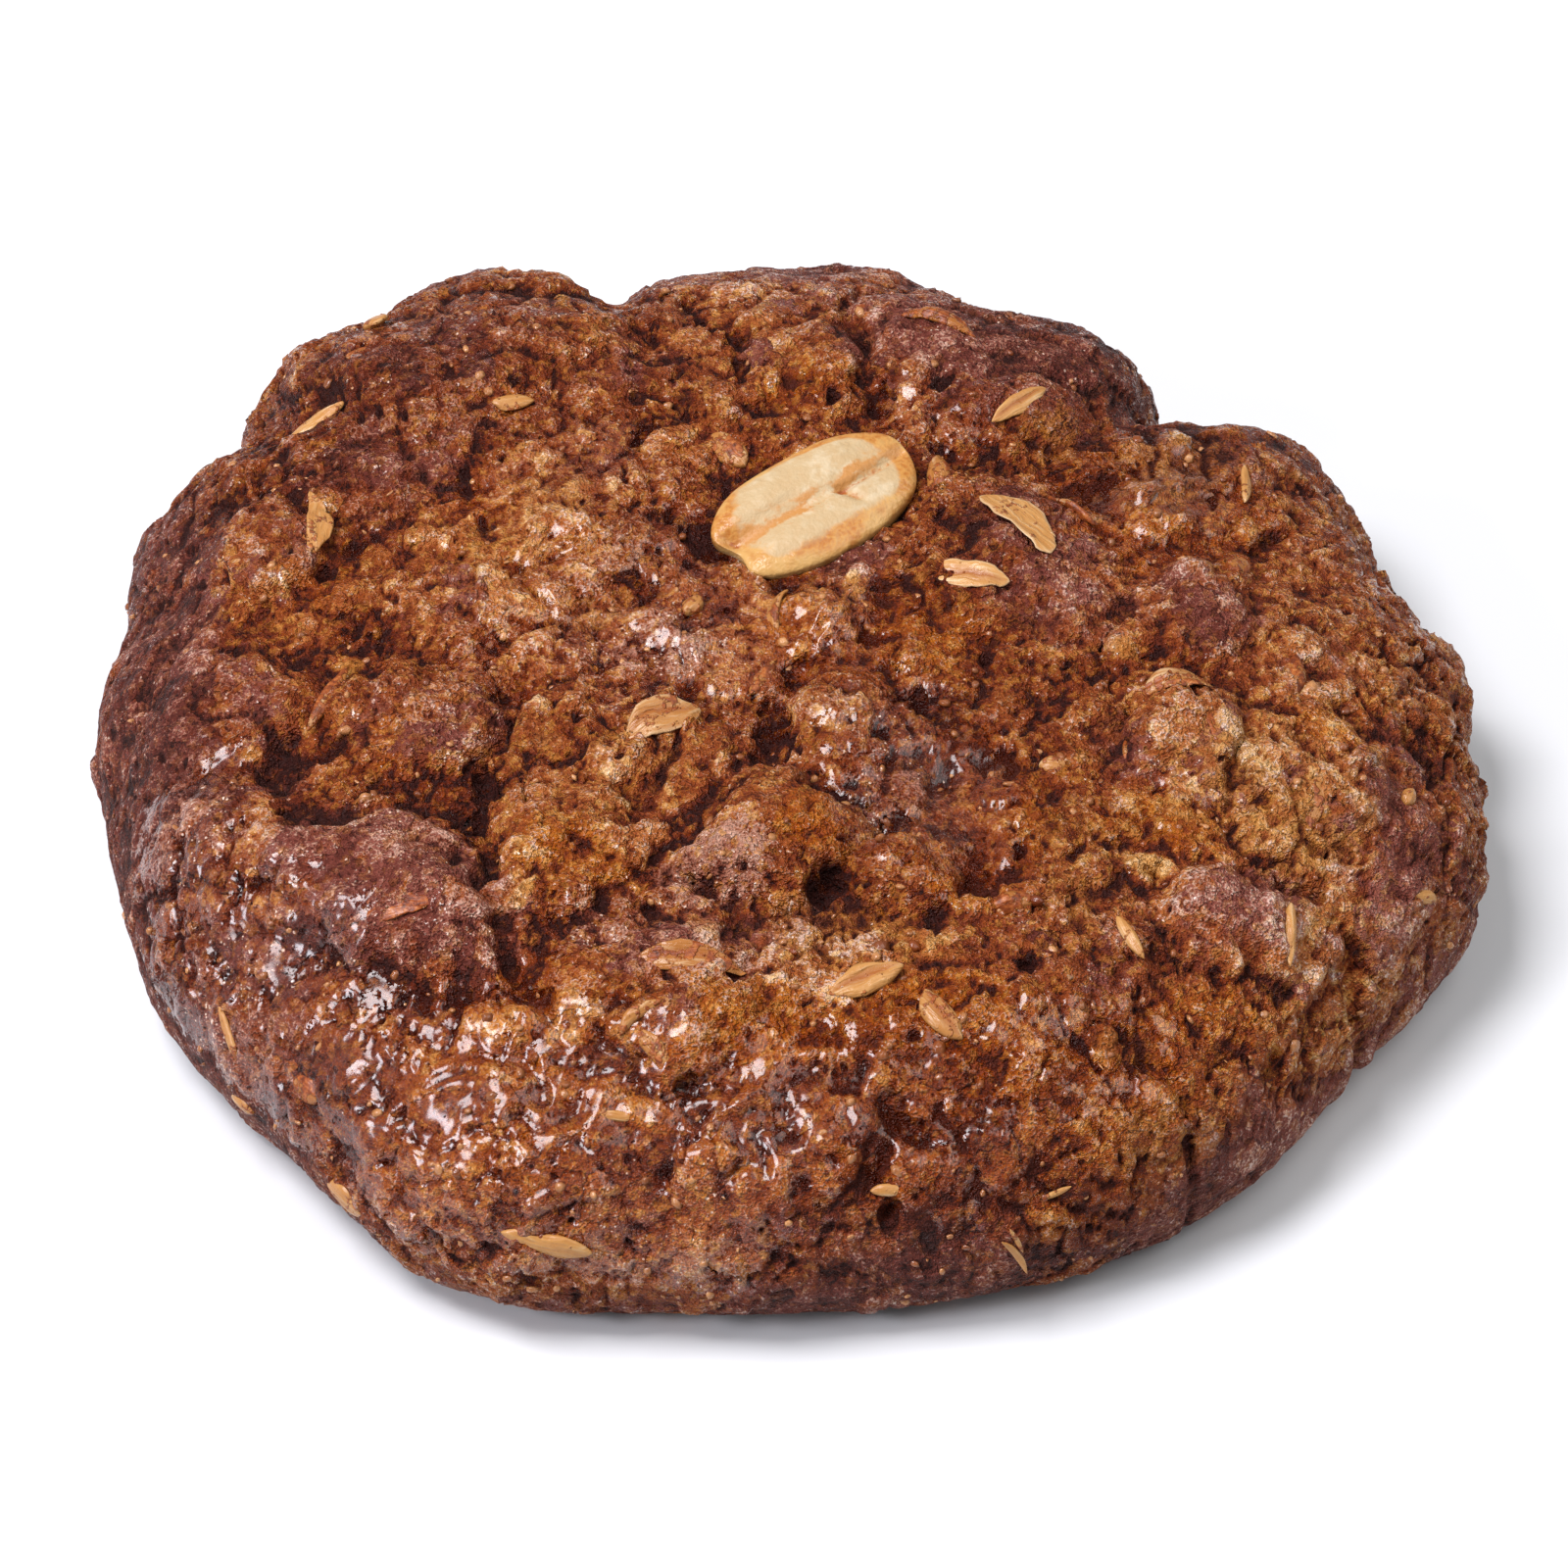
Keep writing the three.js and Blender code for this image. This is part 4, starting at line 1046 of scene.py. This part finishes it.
def flake_material():
    """Toasted oat: amber to cream by its tone, with lines along its length, paler along its rim and toasted
    in its groove, and partly covered with the brown crumb that it is baked into."""
    material, tree, shader, crumbs = new_material("oat_flakes")
    tone, rim, groove = masks_of(tree, "finish")
    fine, mottle = crumbs["Fine"], crumbs["Mottle"]
    course = add_node(tree, "Attribute", attribute_name="course").outputs["Vector"]
    lines = cloud(tree, course, 26.0, 2.0, 0.6).outputs[0]
    pale_rim = maths(tree, "MULTIPLY", levels(tree, rim, 0.75, 0.98, 0, 0.7), tone)
    brown = tone_ramp(tree, weighed(tree, 0.5, (crumbs["Grain"], 0.5), (fine, 0.9)), PALETTE["crumb"])
    crust = levels(tree, weighed(tree, 0.5, (mottle, 2.4), (fine, 0.8), (tone, -0.75)), 0.5, 0.7, 0, 0.9)
    colour = laid_over(
        tree, paint(132, 70, 20), (tone, paint(180, 133, 76)),
        (levels(tree, lines, 0.36, 0.60, 0.45, 0), paint(150, 92, 38)),
        (levels(tree, lines, 0.55, 0.7, 0, 0.5), paint(196, 168, 130)),
        (maths(tree, "MULTIPLY", groove, 0.9), paint(134, 70, 20)),
        (pale_rim, paint(188, 162, 126)), (crust, brown))
    height = weighed(tree, 0.5, (lines, 1.2), (crust, 0.7, 0), (fine, 0.4))
    finish(tree, shader, colour, levels(tree, mottle, 0.3, 0.7, 0.22, 0.5), 1.4, height, 0.12 * MM)
    return material


def peanut_material():
    """Roasted peanut: cream face with paler blotches, which are partly painted highlights, golden towards the
    rim and in toasted streaks, satin, and glossier where it is golden."""
    material, tree, shader, crumbs = new_material("roasted_peanut")
    toast, streak, dent = masks_of(tree, "finish")
    mottle, fine, blotch = crumbs["Mottle"], crumbs["Fine"], crumbs["Blotch"]
    # Paler blotches of the face: partly random tone, partly painted highlights.
    pale_blotch_highlight = levels(tree, weighed(tree, blotch, (mottle, 0.8)), 0.45, 0.7, 0, 0.7)
    golden = laid_over(
        tree, paint(160, 98, 40), (levels(tree, fine, 0.3, 0.7), paint(178, 126, 64)),
        (levels(tree, blotch, 0.4, 0.6), paint(184, 144, 86)))
    ragged = weighed(tree, toast, (mottle, 0.9), (fine, 0.4))
    lines = weighed(tree, streak, (fine, 0.9), (mottle, 0.6))
    colour = laid_over(
        tree, paint(172, 145, 106), (levels(tree, mottle, 0.35, 0.6), paint(174, 150, 113)),
        (pale_blotch_highlight, paint(186, 168, 138)), (levels(tree, ragged, 0.15, 0.75), golden),
        (levels(tree, lines, 0.2, 0.8), paint(170, 118, 62)),
        (levels(tree, weighed(tree, dent, (fine, 1)), 0.3, 0.9), paint(138, 70, 26)))
    roughness = levels(tree, ragged, 0.2, 0.9, 0.5, 0.28)
    finish(tree, shader, colour, roughness, 1.4, weighed(tree, fine, (mottle, 0.8)), 0.12 * MM, 0.6)
    return material


# ---- Settings ----

def length_setting(name, description, default, low, high):
    """A length in metres."""
    return FloatProperty(
        name=name, description=description, default=default, min=low, max=high, unit="LENGTH")


def power_setting(name, description, default):
    """A lamp's power in watts."""
    return FloatProperty(name=name, description=description, default=default, min=0, unit="POWER")


class CookieDoughSettings(bpy.types.PropertyGroup):
    cells: IntProperty(
        name="Cells", description="Cells along one side of the skin's grid", default=310, min=40, max=312)
    clod: length_setting("Clod size", "Width of the broken lumps of crumb", 0.0044, 0.002, 0.01)
    grain: length_setting("Grain size", "Width of the smallest modelled grains", 0.00105, 0.0006, 0.002)
    pit_scale: FloatProperty(
        name="Pit scale", description="Scale of the open pits", default=1.0, min=0.4, max=2.0)


class CookieFlakeSettings(bpy.types.PropertyGroup):
    sink: length_setting(
        "Flake sink", "How much deeper than their lift the flakes have baked in", 0.00022, 0, 0.001)


class CookieGrainSettings(bpy.types.PropertyGroup):
    count: IntProperty(
        name="Grains", description="Number of sugar and nut grains", default=900, min=0, max=6000)
    width: length_setting("Grain width", "Mean width of a grain", 0.0005, 0.0003, 0.0015)


class CookieStageSettings(bpy.types.PropertyGroup):
    floor_colour: FloatVectorProperty(
        name="Floor colour", description="Colour of the floor", default=(0.63, 0.64, 0.656), size=3,
        min=0, max=1, subtype="COLOR")
    key_power: power_setting("Key power", "Power of the left softbox", 5.3)
    edge_power: power_setting("Edge power", "Power of the small softbox for the front left edge", 2.1)
    fill_power: power_setting("Fill power", "Power of the upper right softbox", 2.0)
    sky: FloatProperty(
        name="Room light", description="Strength of the light from all round", default=0.31, min=0)


SETTINGS = {
    "cookie_dough": CookieDoughSettings,
    "cookie_flakes": CookieFlakeSettings,
    "cookie_grains": CookieGrainSettings,
    "cookie_stage": CookieStageSettings,
}


# ---- Operators ----

class COOKIE_OT_dough(bpy.types.Operator):
    """Builds the baked skin in place of the plain solid"""

    bl_idname = "cookie.dough"
    bl_label = "Baked dough"

    def execute(self, context):
        cells = context.scene.cookie_dough.cells
        rows = cells + 1
        line = np.linspace(-1, 1, rows)
        u, v = np.meshgrid(line, line)
        points, _, masks, height, pits = dough(u, v, crumb_sizes(context))
        points[..., 2] = np.where(to_disc(u, v)[0] > EDGE_SHARE, 0, points[..., 2])
        smooth = smooth_skin(u, v)
        raised = relief(smooth[..., 0], smooth[..., 1]) + height
        # narrow and wide: how far each point lies in a small and a broad hollow; the cavity made of them
        # darkens the dough's colour as painted shade.
        narrow, wide = blurred(height, 3) - height, blurred(raised, 9) - raised
        cavity = np.clip(0.5 + 0.9 * narrow + 0.35 * wide + 0.25 * pits, 0, 1)
        steps = np.arange(cells)
        rim = np.concatenate([steps, steps * rows + cells, rows**2 - 1 - steps, (cells - steps) * rows])
        centre = rows**2
        flat = np.vstack([points.reshape(-1, 3), [[0, 0, 0]]])
        fan = np.stack([np.full(len(rim), centre), np.roll(rim, -1), rim], 1)
        triangles = np.concatenate([grid_triangles(rows, rows), fan])
        # Each attribute's three masks, with their values at the middle of the underside.
        attributes = {
            "finish": ((masks["skin"], 0.8), (masks["amber"], 0.1), (masks["frost_and_sheen"], 0)),
            "surface": ((cavity, 0.5), (masks["gloss"], 0), (masks["tan"], 0.2)),
            "inclusions": ((masks["oats"], 0), (masks["oat_tone"], 0.5), (pits, 0)),
            "shade": ((masks["shade"], 0.5),) * 3,
        }
        colours = {
            label: np.stack([np.append(mask.ravel(), under) for mask, under in three], 1)
            for label, three in attributes.items()
        }
        piece = make_piece("baked_dough", flat, triangles, colours, dough_material())
        self.unroll(piece.data, u, v, len(rim))
        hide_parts("cookie_body")
        return {"FINISHED"}

    @staticmethod
    def unroll(mesh, u, v, fan):
        """The map for baking: the top and side unrolled into a disc at TOP_MAP, and the underside, the last
        fan triangles, into a smaller one at UNDER_MAP, given by their middle and radius."""
        share, angle = (np.append(grid.ravel(), 0) for grid in to_disc(u, v))
        corners = np.empty(len(mesh.loops), np.int32)
        mesh.loops.foreach_get("vertex_index", corners)
        under = np.arange(len(corners)) >= len(corners) - 3 * fan
        middle, radius = (np.where(under, low, top) for low, top in zip(UNDER_MAP, TOP_MAP))
        reach, angle = radius * share[corners], angle[corners]
        places = np.stack([middle + reach * np.cos(angle), middle + reach * np.sin(angle)], -1)
        layer = mesh.uv_layers.new(name="OFBake")
        layer.data.foreach_set("uv", places.astype(np.float32).ravel())


class COOKIE_OT_peanut(bpy.types.Operator):
    """Builds the roasted peanut half in place of the plain solid"""

    bl_idname = "cookie.peanut"
    bl_label = "Peanut half"

    def execute(self, context):
        depth = (np.arange(1, NUT_RINGS + 1) / (NUT_RINGS + 1))[:, None]
        angle = (2 * math.pi * np.arange(NUT_SIDES) / NUT_SIDES)[None, :]
        pole = np.zeros((1, 1))
        parts = [self.surface(*place) for place in ((pole, pole), (depth, angle), (pole + 1, pole))]
        flat, finish = (np.vstack([part[index].reshape(-1, 3) for part in parts]) for index in (0, 1))
        turn = Matrix.Rotation(NUT_TILT, 3, "X") @ Matrix.Rotation(NUT_TURN, 3, "Z")
        flat = flat @ np.array(turn).T + NUT_PLACE
        triangles = shell_triangles(NUT_RINGS, NUT_SIDES)
        piece = make_piece("peanut", flat, triangles, {"finish": finish}, peanut_material())
        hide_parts("peanut_half")
        return {"FINISHED"}

    @staticmethod
    def surface(depth, angle):
        """Points and masks of the peanut in its own frame. The outline is a superellipse with a notch for
        the germ at its left end; depth 0 to 0.5 runs over the face, a low dome with a groove along its
        middle, and 0.5 to 1 over the round back."""
        cos, sin = np.cos(angle), np.sin(angle)
        from_notch = np.degrees(np.arctan2(-sin, -cos)) - 4
        reach = 1 - 0.11 * bell(from_notch, 15) + 0.015 * np.sin(3 * angle + 0.6) + 0.01 * np.sin(7 * angle)
        profile = np.sin(math.pi * depth)
        x = (NUT_LENGTH / 2) * np.sign(cos) * np.abs(cos) ** NUT_POWER * profile * reach
        y = (NUT_WIDTH / 2) * np.sign(sin) * np.abs(sin) ** NUT_POWER * profile * reach
        place = np.stack([x + 0 * y, y, 0 * x], -1)
        face = np.maximum(0, np.cos(math.pi * depth))
        inside = np.minimum(1, 2.4 * face)
        bend = y + 0.25 * np.sin(0.45 * x + 0.5)
        left, right = ramp(-x, -2.2, 0.4) * ramp(x, -6.4, -4.6), ramp(x, 1.1, 2.1) * ramp(-x, -7.8, -6.9)
        valley = 0.26 * left * bell(bend, 0.8) + 0.45 * right * bell(bend + 0.15, 0.32)
        valley = valley + 0.12 * bell(bend, 1.6)
        nick = ramp(y, -2.4, -1.5) * ramp(-y, -0.2, 0.5) * bell(x - 1.5 + 0.45 * y, 0.34)
        dip = 0.55 * bell(np.hypot(x + 6.1, 1.2 * (y - 0.4)), 1.0)
        wavy = 0.10 * layered(place, 2.6, 3, 301) + 0.04 * noise(place * np.array([0.4, 1, 1]), 0.5, 305)
        top = NUT_FACE * face**0.8 + 0.16 * face * bell(np.abs(y) - 1.9, 1.2)
        z = np.where(depth < 0.5, top - inside * (valley + 0.30 * nick + dip) + inside * wavy,
                     -NUT_BACK * np.abs(np.cos(math.pi * depth)) ** 0.9)
        z = np.minimum(z, NUT_FACE)
        rim = np.where(depth < 0.5, ramp(depth, 0.23, 0.40), 1.0)
        far = ramp(0.5 * layered(place, 2.0, 3, 311) + rim, 0.35, 1.05)
        ends = 0.8 * bell(np.hypot(x + 6.6, y - 1.2), 1.6) + 0.5 * bell(np.hypot(x + 6.4, y + 2.6), 2.2)
        ends += 0.5 * ramp(x, 5.2, 7.2)
        above = 0.6 * ramp(x, 1.5, 6.5) * ramp(y, -0.3, 0.3) * (1 - ramp(y, 0.8, 2.6))
        toast = np.clip(far + ends + 0.5 * above + 0.9 * ramp(-y, 2.1, 3.3) + 0.05, 0, 1)
        ragged = 0.35 + 0.65 * ramp(layered(place * np.array([0.5, 1.6, 1]), 0.9, 3, 321), -0.35, 0.25)
        streak = 1.1 * left * bell(bend, 0.9) * ragged + 1.1 * right * bell(bend - 0.4, 0.7) * ragged
        streak = inside * np.clip(streak + 0.6 * nick, 0, 1)
        dent = 0.75 * bell(np.hypot(x + 6.1, 1.3 * (y - 0.4)), 0.8) * ragged
        dent += 0.6 * right * bell(bend + 0.15, 0.18) + 0.5 * nick + 0.12 * left * bell(bend, 0.22) * ragged
        dent = inside * np.clip(dent, 0, 1)
        return [np.stack(np.broadcast_arrays(*three), -1) for three in ((x, y, z), (toast, streak, dent))]


def set_flakes(rows, addresses, headings, sizes, sink, on_top):
    """Flakes as closed shells. One flake runs from end to end by t and round its section by a. Its half
    width is the power 0.75 of 1 - |t|^2.2; its middle bows sideways by bow (1 - t^2) and its ends bend down
    by its curl; its section is a thin ellipse with raised rims and a groove along its upper middle. It lies
    on the skin at its address, along its heading, rolled about its length, and the first on_top flakes
    follow the skin's rises and falls."""
    points, normals = dough(*addresses, sizes)[:2]
    along, across = tangents(normals, headings)
    length, width, thick, lift, bow, roll, curl, groove, tone = rows.T
    count = len(rows)
    t = np.cos(math.pi * (np.arange(1, FLAKE_RINGS + 1) / (FLAKE_RINGS + 1)))[None, :, None]
    a = (2 * math.pi * np.arange(FLAKE_SIDES) / FLAKE_SIDES)[None, None, :]

    def grow(values):
        """One value for each flake, given to all its points."""
        return np.broadcast_to(values[:, None, None], (count, FLAKE_RINGS, FLAKE_SIDES))

    swell = (1 - np.abs(t) ** 2.2) ** 0.75
    over = np.sin(a) > 0
    side = grow(width / 2) * swell * np.cos(a) + grow(bow) * (1 - t**2)
    fold = grow(groove) * bell(np.cos(a) - GROOVE_PLACE, 0.28) * over * (1 - t**2)
    thin = np.clip(1.7 - 3.5 * thick / width, 0, 1)
    up = grow(thick / 2) * np.sqrt(swell) * np.sin(a) + 0.09 * grow(width * thin) * swell * np.cos(a) ** 2
    up = up - fold - grow(curl) * (t**2 - 0.4)

    def join(values, first, last):
        """A flake's values with those of its two ends."""
        ends = [np.broadcast_to(end, count)[:, None] for end in (first, last)]
        return np.concatenate([ends[0], values.reshape(count, -1), ends[1]], 1)

    x, y = join(grow(length / 2) * t, length / 2, -length / 2), join(side, 0, 0)
    local = np.stack([x, y, join(up, -0.6 * curl, -0.6 * curl)], -1)
    course = np.stack([0.5 + y / 8, 0.5 + 0.12 * x / 8, 0.07 * np.arange(count)[:, None] % 1 + 0 * x], -1)
    ragged = layered(1.7 * np.arange(count)[:, None, None] + points[:, None] + local, 1.3, 3, 331)
    local = local + (0.15 * width[:, None] * ragged)[..., None] * np.array([0.5, 1, 0.2])
    cos, sin = np.cos(np.radians(roll))[:, None], np.sin(np.radians(roll))[:, None]
    sideways = local[..., 1] * cos - local[..., 2] * sin
    upwards = local[..., 1] * sin + local[..., 2] * cos + lift[:, None] - sink
    world = (points[:, None] + local[..., :1] * along[:, None] + sideways[..., None] * across[:, None]
             + upwards[..., None] * normals[:, None])
    top, foot, facing = world[:on_top], points[:on_top, None], normals[:on_top, None]
    step = top - foot
    plane = foot[..., 2] - (step[..., 0] * facing[..., 0] + step[..., 1] * facing[..., 1]) / facing[..., 2]
    skin, under_foot = (smooth_skin(*over_plan(at[..., 0], at[..., 1]))[..., 2] for at in (top, foot))
    rise = skin - (under_foot - foot[..., 2]) - plane
    top[..., 2] += FOLLOWING * np.clip(rise, -MOST_FOLLOWED, MOST_FOLLOWED)
    rim = np.maximum(np.abs(np.cos(a)), np.abs(t) ** 3) * grow(thin)
    groove_mask = grow(groove > 0) * bell(np.cos(a) - GROOVE_PLACE, 0.3) * over * (1 - t**4)
    finish = np.stack([join(grow(tone), tone, tone), join(rim, 1, 1), join(groove_mask, 0, 0)], -1)
    triangles = repeated(shell_triangles(FLAKE_RINGS, FLAKE_SIDES), count, finish.shape[1])
    return world.reshape(-1, 3), triangles, {"finish": finish.reshape(-1, 3), "course": course.reshape(-1, 3)}


class COOKIE_OT_flakes(bpy.types.Operator):
    """Sets oat flakes, nut chips and husk fibres into the skin"""

    bl_idname = "cookie.flakes"
    bl_label = "Oat flakes"

    def execute(self, context):
        top, rim = np.array(SET_FLAKES, float), np.array(RIM_FLAKES, float)
        both = zip(over_plan(top[:, 0], top[:, 1]), on_side(rim[:, 0], rim[:, 1]))
        addresses = [np.concatenate(pair) for pair in both]
        headings = np.radians(np.concatenate([top[:, 2], rim[:, 0] + 90 + rim[:, 2]]))
        rows = np.concatenate([top[:, 3:], rim[:, 3:]])
        sink = context.scene.cookie_flakes.sink / MM
        points, triangles, colours = set_flakes(
            rows, addresses, headings, crumb_sizes(context), sink, len(top))
        points[:, 2] = np.maximum(points[:, 2], LEAST_GAP)
        piece = make_piece("oat_flakes", points, triangles, colours, flake_material())
        return {"FINISHED"}


def blobs(places, normals, widths):
    """Small uneven lumps as closed shells: a ball of BLOB_RINGS and BLOB_SIDES, each point of it moved in or
    out at random, flattened along the skin's normal, tilted a little and turned at random about it."""
    count = len(places)
    rng = np.random.default_rng(BLOB_SEED)
    fall = (math.pi * np.arange(1, BLOB_RINGS + 1) / (BLOB_RINGS + 1))[:, None]
    turn = (2 * math.pi * np.arange(BLOB_SIDES) / BLOB_SIDES)[None, :]
    ball = np.stack([np.sin(fall) * np.cos(turn), np.sin(fall) * np.sin(turn), np.cos(fall) + 0 * turn], -1)
    ball = np.vstack([[[0, 0, 1]], ball.reshape(-1, 3), [[0, 0, -1]]])
    local = ball[None] * (1 + rng.uniform(-0.22, 0.22, (count, len(ball), 1)))
    stretch = [rng.uniform(0.8, 1.35, count), rng.uniform(0.65, 1.1, count), np.full(count, BLOB_FLATNESS)]
    local = local * np.stack(stretch, -1)[:, None] * (widths / 2)[:, None, None]
    along, across = tangents(normals + rng.normal(0, 0.35, normals.shape), rng.uniform(0, 2 * math.pi, count))
    axes = np.stack([along, across, np.cross(along, across)], 1)
    world = places[:, None] + local @ axes
    triangles = repeated(shell_triangles(BLOB_RINGS, BLOB_SIDES), count, len(ball))
    return world.reshape(-1, 3), triangles, len(ball)


class COOKIE_OT_grains(bpy.types.Operator):
    """Scatters sugar and nut grains over the skin"""

    bl_idname = "cookie.grains"
    bl_label = "Grains"

    def execute(self, context):
        settings = context.scene.cookie_grains
        places, normals, masks, rng = self.scattered(settings.count, crumb_sizes(context))
        count = len(places)
        widths = np.minimum(settings.width / MM * rng.lognormal(0, GRAIN_SPREAD, count), WIDEST_GRAIN)
        places = places - normals * (GRAIN_SINK * widths)[:, None]
        places[:, 2] = np.maximum(places[:, 2], LOWEST_GRAIN)
        points, triangles, each = blobs(places, normals, widths)
        tone = rng.random(count)
        dark = np.where(rng.random(count) < DARK_SHARE, 0.7, 0.1)
        finish = np.stack([tone, dark, np.clip(masks["gloss"] + 0.2, 0, 1)], 1)
        colours = {"finish": np.repeat(finish, each, axis=0)}
        piece = make_piece("nut_grains", points, triangles, colours, grain_material())
        return {"FINISHED"}

    @staticmethod
    def scattered(count, sizes):
        """Places on the skin drawn at random: four times too many addresses, spread evenly over the square,
        kept with a chance that is higher in tan and glossy crumb, low on smooth skin, and 0 over the peanut
        and near the underside."""
        rng = np.random.default_rng(PLACE_SEED)
        u, v = rng.uniform(-1, 1, (2, 4 * count))
        points, normals, masks = dough(u, v, sizes)[:3]
        chance = (0.3 + 0.3 * masks["tan"] + 0.3 * masks["gloss"]) * (1 - 0.7 * masks["skin"])
        clear = ellipse_share(points[..., 0], points[..., 1], NUT_CLEARANCE) > 1
        chance = chance * clear * (to_disc(u, v)[0] < GRAIN_REACH)
        chosen = np.flatnonzero(rng.random(len(u)) < chance)[:count]
        return points[chosen], normals[chosen], {key: value[chosen] for key, value in masks.items()}, rng


class COOKIE_OT_stage(bpy.types.Operator):
    """Lays the floor, hangs the lights and sets the camera"""

    bl_idname = "cookie.stage"
    bl_label = "Stage"

    def execute(self, context):
        scene, settings = context.scene, context.scene.cookie_stage
        mesh = bpy.data.meshes.new("floor")
        corners = [(x * FLOOR_REACH, y * FLOOR_REACH, 0) for x, y in ((-1, -1), (1, -1), (1, 1), (-1, 1))]
        mesh.from_pydata(corners, (), [(0, 1, 2, 3)])
        mesh.materials.append(self.paper(settings.floor_colour))
        floor = bpy.data.objects.new("floor", mesh)
        scene.collection.objects.link(floor)
        scene.world = bpy.data.worlds.new("room")
        scene.world.use_nodes = True
        room = scene.world.node_tree
        feed(room, room.nodes["Background"], enumerate((ROOM_COLOUR, settings.sky)))
        for name, place, size, colour in SOFTBOXES:
            power = getattr(settings, name + "_power")
            self.hang(scene, name + "_softbox", Vector(place), size, power, colour)
        scene.view_settings.view_transform = "Standard"
        camera = bpy.data.objects.new("camera", bpy.data.cameras.new("camera"))
        camera.data.lens = LENS_MM
        camera.data.sensor_width = SENSOR_MM
        camera.location = CAMERA_PLACE
        camera.rotation_euler = (CAMERA_TILT, 0, 0)
        scene.collection.objects.link(camera)
        scene.camera = camera
        return {"FINISHED"}

    @staticmethod
    def paper(colour):
        """Matt white paper for the floor."""
        material = bpy.data.materials.new("white_paper")
        material.use_nodes = True
        tree = material.node_tree
        feed(tree, tree.nodes["Principled BSDF"], {"Base Color": (*colour, 1), "Roughness": 0.7})
        return material

    @staticmethod
    def hang(scene, name, place, size, power, colour):
        """A square softbox at a place, facing the cookie."""
        light = bpy.data.lights.new(name, "AREA")
        light.shape = "SQUARE"
        light.size = size
        light.energy = power
        light.color = colour
        holder = bpy.data.objects.new(name, light)
        holder.location = place
        holder.rotation_euler = (-place).to_track_quat("-Z", "Y").to_euler()
        scene.collection.objects.link(holder)


OPERATORS = (COOKIE_OT_dough, COOKIE_OT_peanut, COOKIE_OT_flakes, COOKIE_OT_grains, COOKIE_OT_stage)


class COOKIE_PT_panel(bpy.types.Panel):
    bl_label = "Peanut cookie"
    bl_idname = "COOKIE_PT_panel"
    bl_space_type = "VIEW_3D"
    bl_region_type = "UI"
    bl_category = "Cookie"

    def draw(self, context):
        for operator in OPERATORS:
            self.layout.operator(operator.bl_idname)
        for name, kind in SETTINGS.items():
            box = self.layout.box()
            for key in kind.__annotations__:
                box.prop(getattr(context.scene, name), key)


def register():
    for kind in (*SETTINGS.values(), *OPERATORS, COOKIE_PT_panel):
        bpy.utils.register_class(kind)
    for name, kind in SETTINGS.items():
        setattr(bpy.types.Scene, name, PointerProperty(type=kind))


def unregister():
    for name in SETTINGS:
        delattr(bpy.types.Scene, name)
    for kind in (COOKIE_PT_panel, *reversed(OPERATORS), *reversed(SETTINGS.values())):
        bpy.utils.unregister_class(kind)


def main():
    register()
    for operator in OPERATORS:
        getattr(bpy.ops.cookie, operator.bl_idname.split(".")[1])()


if __name__ == "__main__":
    main()
